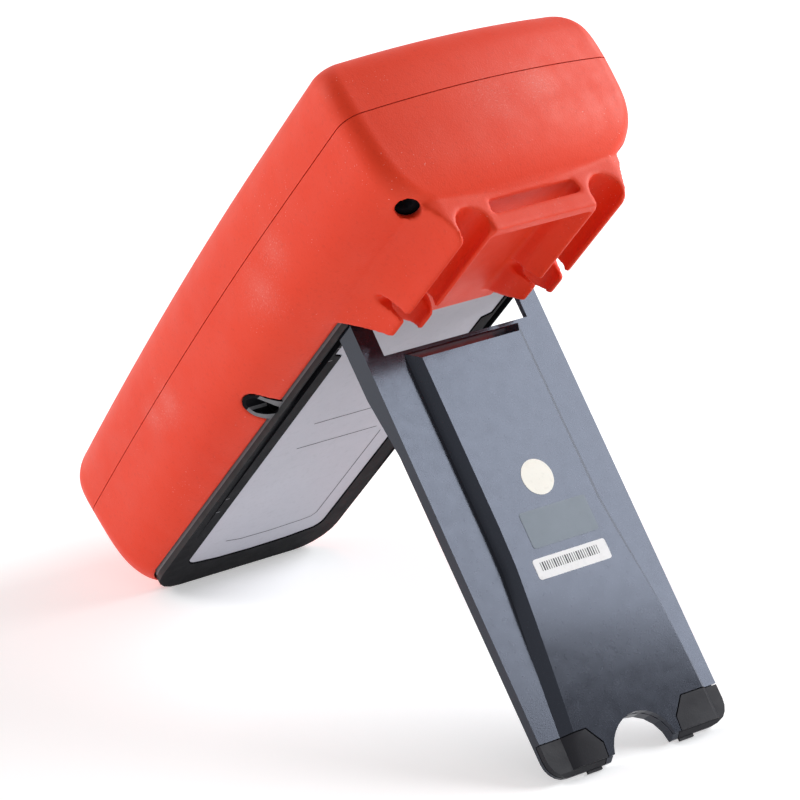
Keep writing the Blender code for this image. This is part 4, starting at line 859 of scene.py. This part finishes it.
def red_rubber():
    s = Surface("red_rubber", RED_BASE, 0.6, specular=0.40)
    s.tint(s.remap(s.noise(26.0, 3.0), 0.35, 0.75), RED_LIGHT)
    s.tint(s.remap(s.noise(900.0, 2.0), 0.55, 0.8, 0.0, 0.35), RED_DARK)
    specks = s.remap(s.noise(1900.0, 1.0), 0.72, 0.78)
    patches = s.remap(s.noise(60.0, 2.0), 0.52, 0.66)
    s.tint(s.math("MULTIPLY", s.math("MULTIPLY", specks, patches), 0.5), RED_SPECK)
    hairs = s.remap(s.noise(3400.0, 3.0, 0.7, (0.30, 1.0, 0.5)), 0.56, 0.72)
    for centre, reach in SCUFFS:
        spot = s.near(METER @ (Vector(centre) * MM), reach * MM)
        s.tint(s.math("MULTIPLY", s.math("MULTIPLY", spot, hairs), 0.42), SCUFF_HAIR)
        s.tint(s.math("MULTIPLY", s.math("POWER", spot, 2.0), 0.10), SCUFF_DUST)
    s.vary_roughness(s.noise(140.0, 3.0), 0.48, 0.60)
    s.bump(s.noise(2300.0, 2.0), 0.42, 0.00012)
    s.bump(s.noise(160.0, 2.0), 0.08, 0.0004)
    s.put("Specular Tint", (1.0, 0.92, 0.82, 1.0))
    s.put("Sheen Weight", 0.06)
    s.put("Sheen Roughness", 0.45)
    return s.material


def moulded(name, colour, low, high, grain=1900.0, bump=0.1, specular=0.5, speckle=0.0, gloss=None):
    """Moulded plastic: mottled colour, uneven roughness, fine grain and hairline scratches.

    gloss is the colour of its reflections, where that isn't plain white.
    """
    s = Surface(name, colour, (low + high) / 2, 0.0, specular)
    if gloss:
        s.put("Specular Tint", (*gloss, 1.0))
    darker = tuple(0.78 * c for c in colour)
    lighter = tuple(min(1.0, 1.15 * c + 0.003) for c in colour)
    speck = tuple(min(1.0, 3.0 * c + 0.05) for c in colour)
    s.tint(s.remap(s.noise(18.0, 2.0), 0.35, 0.7, 0.0, 0.5), lighter)
    s.tint(s.remap(s.noise(700.0, 2.0), 0.55, 0.8, 0.0, 0.4), darker)
    if speckle:
        s.tint(s.remap(s.noise(grain, 1.0), 0.64, 0.72, 0.0, speckle), speck)
    scratches = s.remap(s.noise(500.0, 2.0, 0.6, (1.0, 0.04, 1.0)), 0.62, 0.68)
    uneven = s.math("ADD", s.noise(260.0, 4.0), s.math("MULTIPLY", scratches, 0.12))
    s.vary_roughness(uneven, low, high)
    s.bump(s.noise(grain, 2.0), bump, 0.00010)
    return s.material


# Height on the frame's side above which it is black; below it the side is painted light grey as a
# highlight
FRAME_BLACK_Z = -1.6 * MM


def frame_side_highlight_surface():
    """Painted highlight: light grey, scuffed plastic beside the red edge where the black side wall
    catches light, and black above it.
    """
    s = Surface("frame_side_highlight", (0.16, 0.16, 0.17), 0.5, 0.0, 0.4)
    s.tint(s.remap(s.noise(700.0, 2.0), 0.5, 0.8, 0.0, 0.5), (0.10, 0.10, 0.11))
    s.tint(s.remap(s.noise(2100.0, 1.0), 0.64, 0.72, 0.0, 0.25), (0.40, 0.40, 0.42))
    s.tint(s.above(FRAME_BLACK_Z, 0.15 * MM), (0.006, 0.006, 0.008))
    s.vary_roughness(s.noise(260.0, 4.0), 0.45, 0.6)
    s.bump(s.noise(2100.0, 2.0), 0.15, 0.0001)
    return s.material


def brushed(name, colour, roughness, stretch=(1.0, 0.05, 1.0)):
    s = Surface(name, colour, roughness, 1.0)
    lines = s.noise(1400.0, 3.0, 0.6, stretch)
    s.tint(s.remap(lines, 0.4, 0.7), tuple(0.8 * c for c in colour))
    s.tint(s.remap(s.noise(160.0, 3.0), 0.55, 0.8, 0.0, 0.4), tuple(0.62 * c for c in colour))
    s.vary_roughness(lines, roughness - 0.08, roughness + 0.1)
    s.bump(lines, 0.12, 0.00005)
    return s.material


def board_surface():
    s = Surface("board", (0.015, 0.13, 0.055), 0.4)
    tracks = s.node("ShaderNodeTexVoronoi", feature="DISTANCE_TO_EDGE", distance="MANHATTAN")
    tracks.inputs["Scale"].default_value = 170.0
    s.link(s.place, tracks.inputs["Vector"])
    lines = s.remap(tracks.outputs["Distance"], 0.03, 0.05, 1.0, 0.0)
    s.tint(s.math("MULTIPLY", lines, 0.6), (0.05, 0.26, 0.10))
    s.tint(s.remap(s.noise(60.0), 0.4, 0.8, 0.0, 0.5), (0.010, 0.09, 0.04))
    s.bump(lines, 0.25, 0.00005)
    return s.material


def lens_surface():
    s = Surface("lens", (0.80, 0.84, 0.84), 0.05)
    s.put("Transmission Weight", 0.85)
    s.put("IOR", 1.49)
    s.vary_roughness(s.noise(90.0, 3.0), 0.03, 0.08)
    s.bump(s.noise(25.0), 0.03, 0.0002)
    return s.material


def lcd_surface():
    s = Surface("lcd", (0.34, 0.39, 0.31), 0.25)
    s.tint(s.remap(s.noise(30.0), 0.3, 0.8), (0.30, 0.36, 0.29))
    s.tint(s.remap(s.noise(2500.0, 1.0), 0.5, 0.8, 0.0, 0.3), (0.42, 0.47, 0.39))
    s.bump(s.noise(2500.0, 1.0), 0.03, 0.00005)
    return s.material


def cell_surface():
    """The dark, uneven sleeve of a cell."""
    s = Surface("cell", (0.08, 0.10, 0.16), 0.35, 0.2)
    s.tint(s.remap(s.noise(160.0, 2.0), 0.45, 0.55, 0.0, 0.6), (0.16, 0.19, 0.27))
    s.tint(s.remap(s.noise(800.0, 2.0), 0.6, 0.8, 0.0, 0.4), (0.30, 0.33, 0.40))
    s.vary_roughness(s.noise(200.0), 0.28, 0.42)
    s.bump(s.noise(900.0), 0.05, 0.00005)
    return s.material


RED = red_rubber()
BLACK = moulded("black_plastic", (0.008, 0.008, 0.010), 0.36, 0.46, 2100.0, 0.10, 0.015, 0.12)
# Light grey with scuffs: a painted highlight on the black frame's side wall
FRAME_SIDE_HIGHLIGHT = frame_side_highlight_surface()
# Light grey for the frame's ticks: painted highlights of small notch edges
TICK_HIGHLIGHT = moulded("tick_highlight", (0.10, 0.10, 0.11), 0.45, 0.6)
STAND_BLACK = moulded("stand_plastic", (0.010, 0.011, 0.016), 0.14, 0.18, 2300.0, 0.035,
                      speckle=0.10, gloss=(0.72, 0.80, 1.0))
GREY = moulded("grey_panel", (0.40, 0.40, 0.455), 0.36, 0.44, 2400.0, 0.05, 0.35)
PAD = moulded("pad_rubber", (0.013, 0.013, 0.017), 0.42, 0.55, 2000.0, 0.25, 0.18)
KEY = moulded("key", (0.11, 0.11, 0.125), 0.45, 0.6, 2200.0, 0.25)
POWER = moulded("power", (0.60, 0.07, 0.045), 0.45, 0.6, 2200.0, 0.25)
STEEL = brushed("steel", (0.62, 0.62, 0.64), 0.28)
BRASS = brushed("brass", (0.75, 0.55, 0.22), 0.28, (1.0, 1.0, 0.06))
BOARD = board_surface()
LENS = lens_surface()
LCD = lcd_surface()
CELL = cell_surface()


# How a node's name starts, and its material; the first line that fits counts
NODE_MATERIALS = (
    ("case_screw", STEEL), ("door_screw", STEEL), ("contact_", STEEL), ("lead_contact", STEEL),
    ("cell_", CELL), ("foot_pad", PAD), ("key_mat", PAD), ("key_", KEY), ("lcd_holder", KEY),
    ("power_key", POWER), ("socket_", BRASS), ("main_board", BOARD), ("display_window", LENS),
    ("lcd_module", LCD), ("battery_door", GREY), ("rear_overmould", RED), ("front_overmould", RED),
)


def node_material(name):
    for start, material in NODE_MATERIALS:
        if name.startswith(start):
            return material
    return BLACK


for node_name, node_object in frame["nodes"].items():
    node_object.data.materials.clear()
    node_object.data.materials.append(node_material(node_name))


# ---- visible pieces that stand for CAD nodes
make_rear_overmould(RED)
make_front_overmould(RED)


# What counts as an edge of the black frame's face, and as the frame's side
ON_PLANE = 0.02 * MM
SHORTEST_EDGE = 0.6 * MM
SIDE_DEPTH = 6 * MM
FACES_OUT = 0.8


def on_frame_face(a, b):
    """True for an edge of the black frame's own flat face."""
    flat = abs(a.z - FRAME_Z) < ON_PLANE and abs(b.z - FRAME_Z) < ON_PLANE
    return flat and (a - b).length > SHORTEST_EDGE


def mark_frame_side_highlights(piece):
    """Give the frame's outer side wall and the inlet's ring the light grey, scuffed material, which
    is a painted highlight.
    """
    piece.data.materials.append(FRAME_SIDE_HIGHLIGHT)
    turn = METER.inverted()
    for face in piece.data.polygons:
        middle = turn @ face.center
        outwards = turn.to_3x3() @ face.normal
        beside = abs(middle.x) > FRAME_HALF_WIDTH - SPARE and outwards.x * middle.x > 0
        level = -SIDE_DEPTH < middle.z < FRAME_Z + PRESS
        ring = middle.x < -JACK_RING_X and abs(middle.y - JACK_Y) < JACK_RING_RADIUS + SPARE
        if beside and level and (outwards.z < FACES_OUT or ring):
            face.material_index = 1


# The stand's raised centre as the photo shows it (mm): distance from the pin, then the half
# widths of its foot and top on the left, and of its top and foot on the right
CENTRE_EDGES = (
    (11.9, 18.9, 17.0, 17.4, 21.4), (55.0, 18.9, 17.0, 17.5, 21.5), (66.0, 18.9, 17.0, 17.9, 22.1),
    (77.5, 19.1, 17.3, 19.2, 23.4), (89.0, 20.4, 18.4, 20.9, 24.9),
    (100.5, 22.0, 19.4, 22.6, 26.1), (112.0, 23.2, 20.3, 23.9, 26.8),
    (124.6, 24.4, 21.2, 25.1, 27.5), (136.0, 24.8, 21.8, 25.9, 27.8),
)
LEFT_FOOT, LEFT_TOP, RIGHT_TOP, RIGHT_FOOT = 1, 2, 3, 4
CENTRE_LIFT = 3.0 * MM
LIFT_RUN = (84.0 * MM, 134.0 * MM)
LIFT_STATIONS = 7
NEAR_EDGE = 0.4 * MM
END_LEAN = 0.8 * MM
END_RUN = 4 * MM
NUB_START = STAND_LENGTH + 0.03 * MM
STAND_ROUND = 0.35 * MM
CASE_ROUND = 0.3 * MM
PANEL_ROUND = 0.25 * MM


def centre_edge(y, column):
    """Half width of one edge of the raised centre, at a distance from the pin."""
    y = max(y / MM, CENTRE_EDGES[0][0])
    for a, b in zip(CENTRE_EDGES, CENTRE_EDGES[1:]):
        if y <= b[0]:
            break
    share = min(1.0, (y - a[0]) / (b[0] - a[0]))
    return (a[column] + (b[column] - a[column]) * share) * MM


def centre_lift(y):
    """How far the raised centre is lifted; it sinks along a gentle curve to the foot."""
    share = (y - LIFT_RUN[0]) / (LIFT_RUN[1] - LIFT_RUN[0])
    return CENTRE_LIFT * (1.0 - min(1.0, max(0.0, share)) ** 2)


def raise_centre(work):
    """Raise the middle of the stand and steepen its flanks; it runs out level at the foot."""
    back = STAND.inverted()
    step = (LIFT_RUN[1] - LIFT_RUN[0]) / LIFT_STATIONS
    for y in (LIFT_RUN[0] + step * i for i in range(LIFT_STATIONS)):
        geometry = [*work.verts, *work.edges, *work.faces]
        bmesh.ops.bisect_plane(work, geom=geometry, dist=MERGE, plane_co=STAND @ Vector((0, y, 0)),
                               plane_no=STAND.to_3x3() @ Vector((0, 1, 0)))
    for vert in work.verts:
        x, y, z = back @ vert.co
        foot = plateau_half(y)
        right = x > 0
        at_foot = abs(z - STAND_FACE) < PRESS and y > PLATEAU_START - GAP
        if z > STAND_FACE + PLATEAU_HEIGHT / 2 and y > PLATEAU_START - PRESS:
            if abs(abs(x) - foot + PLATEAU_SLOPE) < NEAR_EDGE:
                x = centre_edge(y, RIGHT_TOP) if right else -centre_edge(y, LEFT_TOP)
            if y < PLATEAU_START + END_RUN:
                y += END_LEAN
            z += centre_lift(y)
        elif at_foot and abs(abs(x) - foot) < NEAR_EDGE:
            x = centre_edge(y, RIGHT_FOOT) if right else -centre_edge(y, LEFT_FOOT)
        vert.co = STAND @ Vector((x, y, z))


def mark_nubs(piece):
    """The two nubs at the stand's foot are matt."""
    piece.data.materials.append(PAD)
    back = STAND.inverted()
    for face in piece.data.polygons:
        if (back @ face.center).y > NUB_START:
            face.material_index = 1


mark_nubs(rounded_copy(
    "tilt_stand", "stand_shell", STAND_BLACK, STAND_ROUND, 8, reshape=raise_centre))
# The frame's side wall and the inlet's ring get the painted highlight material
mark_frame_side_highlights(rounded_copy("rear_case", "rear_housing", BLACK, CASE_ROUND, 60, on_frame_face))
rounded_copy("battery_door", "label_panel", GREY, PANEL_ROUND, 50)
rounded_copy("foot_pad_left", "pad_left", PAD, PANEL_ROUND, reshape=raise_centre)
rounded_copy("foot_pad_right", "pad_right", PAD, PANEL_ROUND, reshape=raise_centre)


# ---- stickers, printed lines, and ticks painted as highlights
def flat_piece(outline, height, thickness, name, body, material, matrix):
    """A thin flat piece over an outline (mm), such as a label or a printed line."""
    item = plate([(x * MM, y * MM) for x, y in outline], height, height + thickness)
    finish_piece(item, name, body, material, matrix, ())


def strip(a, b, width):
    """Outline of a straight strip between two points."""
    a, b = Vector(a), Vector(b)
    run = (b - a).normalized()
    side = Vector((-run.y, run.x)) * width / 2
    return [a + side, a - side, b - side, b + side]


def rounded_box(x0, y0, x1, y1, radius):
    corners = (((x1 - radius, y1 - radius), 0), ((x0 + radius, y1 - radius), 90),
               ((x0 + radius, y0 + radius), 180), ((x1 - radius, y0 + radius), 270))
    points = []
    for centre, start in corners:
        points += arc(centre, radius, start, start + 90, 4)
    return points


CREAM = moulded("cream_paper", (0.84, 0.83, 0.74), 0.45, 0.55, 1500.0, 0.08, 0.6)
SILVER = moulded("silver_film", (0.022, 0.027, 0.036), 0.15, 0.19, 1700.0, 0.02, 0.45,
                 gloss=(0.80, 0.90, 1.0))
WHITE = moulded("white_paper", (0.80, 0.80, 0.80), 0.5, 0.6, 1500.0, 0.08)
INK = moulded("ink", (0.035, 0.035, 0.045), 0.5, 0.6, 1500.0, 0.05)

PLATEAU_TOP = STAND_FACE + PLATEAU_HEIGHT + CENTRE_LIFT
FILM = 0.07 * MM
FILM_GAP = 0.01 * MM
INK_GAP = 0.02 * MM
TICK_GAP = 0.005 * MM
TICK_DEPTH = 0.03 * MM
# Outlines and places on the flat faces, all in mm. On the stand: X across, Y from the pin
LABELS = (
    ("round_sticker", arc((1.9, 55.9), 5.2, 0, 350, 35), CREAM),
    ("grey_sticker", rounded_box(-9.4, 64.2, 13.9, 74.7, 0.8), SILVER),
    ("bar_sticker", rounded_box(-11.8, 77.4, 13.9, 83.3, 0.9), WHITE),
)
BAR_COUNT = 26
BAR_START, BAR_STEP = -9.6, 0.80
BAR_WIDTH, BAR_GROWTH = 0.22, 0.12
BAR_FOOT, BAR_HEAD = 78.6, 81.1
# On the grey panel and the frame: X across, Y from the foot
LOW_RULE = ((-14.2, 20.9), (-8.3, 19.5), (2.8, 19.3), (13.6, 20.0), (17.4, 20.6), (18.6, 22.4),
            (18.6, 68.6))
RULES = (LOW_RULE, ((-13.6, 72.0), (15.4, 72.0)), ((-14.1, 85.6), (9.0, 85.6)))
RULE_WIDTH = 0.35
TICK_PLACES = (44.3, 51.6, 124.7, 131.1)
TICK_X = (-29.15, -27.8)


def add_stickers():
    for name, outline, material in LABELS:
        flat_piece(outline, PLATEAU_TOP + FILM_GAP, FILM, name, "stand", material, STAND)


def add_bar_print():
    """Plain bars on the white label, which stand for no code."""
    for i in range(BAR_COUNT):
        x = BAR_START + BAR_STEP * i
        bar = strip((x, BAR_FOOT), (x, BAR_HEAD), BAR_WIDTH + BAR_GROWTH * (i * 7 % 5 % 3))
        name = "label_bar_%02d" % (i + 1)
        flat_piece(bar, PLATEAU_TOP + FILM + INK_GAP, FILM / 4, name, "stand", INK, STAND)


def add_label_lines():
    """The printed lines of the grey panel; its words are left off."""
    for number, points in enumerate(RULES, 1):
        for part_number, (a, b) in enumerate(zip(points, points[1:]), 1):
            name = "printed_line_%d_%d" % (number, part_number)
            shape = strip(a, b, RULE_WIDTH)
            flat_piece(shape, FILM_GAP, INK_GAP, name, "housing", INK, METER)


def add_frame_tick_highlights():
    """Four short light grey strips on the frame beside the panel, painted highlights of small notch
    edges.
    """
    for number, y in enumerate(TICK_PLACES, 1):
        shape = strip((TICK_X[0], y), (TICK_X[1], y), RULE_WIDTH)
        name = "frame_tick_%d" % number
        flat_piece(shape, FRAME_Z + TICK_GAP, TICK_DEPTH, name, "housing", TICK_HIGHLIGHT, METER)


add_stickers()
add_bar_print()
add_label_lines()
add_frame_tick_highlights()


# ---- light, floor and the last lines
def area_light(name, place, target, size, power_w, colour):
    """A rectangular lamp at a place, facing a target."""
    data = bpy.data.lights.new(name, "AREA")
    data.shape = "RECTANGLE"
    data.size, data.size_y = size
    data.energy = power_w
    data.color = colour
    lamp = bpy.data.objects.new(name, data)
    lamp.location = place
    direction = Vector(target) - Vector(place)
    lamp.rotation_euler = direction.to_track_quat("-Z", "Y").to_euler()
    bpy.context.scene.collection.objects.link(lamp)


def seen_directly(tree):
    """1 for rays that show the background: straight, mirrored or through a lens."""
    path = tree.nodes.new("ShaderNodeLightPath")
    total = path.outputs["Is Camera Ray"]
    for name in ("Is Glossy Ray", "Is Transmission Ray"):
        add = tree.nodes.new("ShaderNodeMath")
        add.operation = "MAXIMUM"
        tree.links.new(total, add.inputs[0])
        tree.links.new(path.outputs[name], add.inputs[1])
        total = add.outputs[0]
    return total


def light_world(strength):
    """Soft light from all round, and a white background for the rays that show it."""
    world = bpy.data.worlds.new("studio")
    bpy.context.scene.world = world
    world.use_nodes = True
    tree = world.node_tree
    back = tree.nodes["Background"]
    back.inputs["Color"].default_value = (1, 1, 1, 1)
    back.inputs["Strength"].default_value = strength
    out = tree.nodes["World Output"]
    white = tree.nodes.new("ShaderNodeBackground")
    white.inputs["Strength"].default_value = 1.0
    mix = tree.nodes.new("ShaderNodeMixShader")
    tree.links.new(seen_directly(tree), mix.inputs["Fac"])
    tree.links.new(back.outputs["Background"], mix.inputs[1])
    tree.links.new(white.outputs["Background"], mix.inputs[2])
    tree.links.new(mix.outputs["Shader"], out.inputs["Surface"])


WORLD_LIGHT = 0.31
# Name, place, target, width and height (m), power (W), colour
LAMPS = (
    ("left_box", (1.0, -0.95, 0.7), (0, 0, 0.1), (0.9, 0.9), 12.8, (1, 1, 1)),
    ("top_box", (-1.297, 0.368, 0.834), (-0.177, -0.202, -0.016), (1.39, 0.74), 26.0,
     (0.95, 0.97, 1.0)),
)
light_world(WORLD_LIGHT)
for lamp_row in LAMPS:
    area_light(*lamp_row)

FLOOR_HALF = 6.0
# The floor's own glow near the object and far from it, and the distance between the two (m)
GLOW_NEAR, GLOW_FAR, GLOW_RUN = 0.32, 0.62, 3.0


def floor_surface():
    """White floor that keeps the object's shadow."""
    s = Surface("floor", (0.90, 0.90, 0.90), 0.9, 0.0, 0.1)
    s.tint(s.remap(s.noise(3.0), 0.4, 0.6), (0.92, 0.92, 0.92))
    glow = s.node("ShaderNodeEmission")
    lift = s.remap(s.near((0, 0, 0), GLOW_RUN), 0.0, 1.0, GLOW_FAR, GLOW_NEAR)
    s.link(lift, glow.inputs["Strength"])
    both = s.node("ShaderNodeAddShader")
    s.link(s.shader.outputs[0], both.inputs[0])
    s.link(glow.outputs[0], both.inputs[1])
    s.link(both.outputs[0], s.tree.nodes["Material Output"].inputs["Surface"])
    return s.material


def make_floor():
    mesh = bpy.data.meshes.new("floor")
    corners = [(x * FLOOR_HALF, y * FLOOR_HALF, 0) for x, y in ((-1, -1), (1, -1), (1, 1), (-1, 1))]
    mesh.from_pydata(corners, [], [(0, 1, 2, 3)])
    floor = bpy.data.objects.new("floor", mesh)
    bpy.context.scene.collection.objects.link(floor)
    mesh.materials.append(floor_surface())


make_floor()
bpy.context.scene.view_settings.view_transform = "Standard"
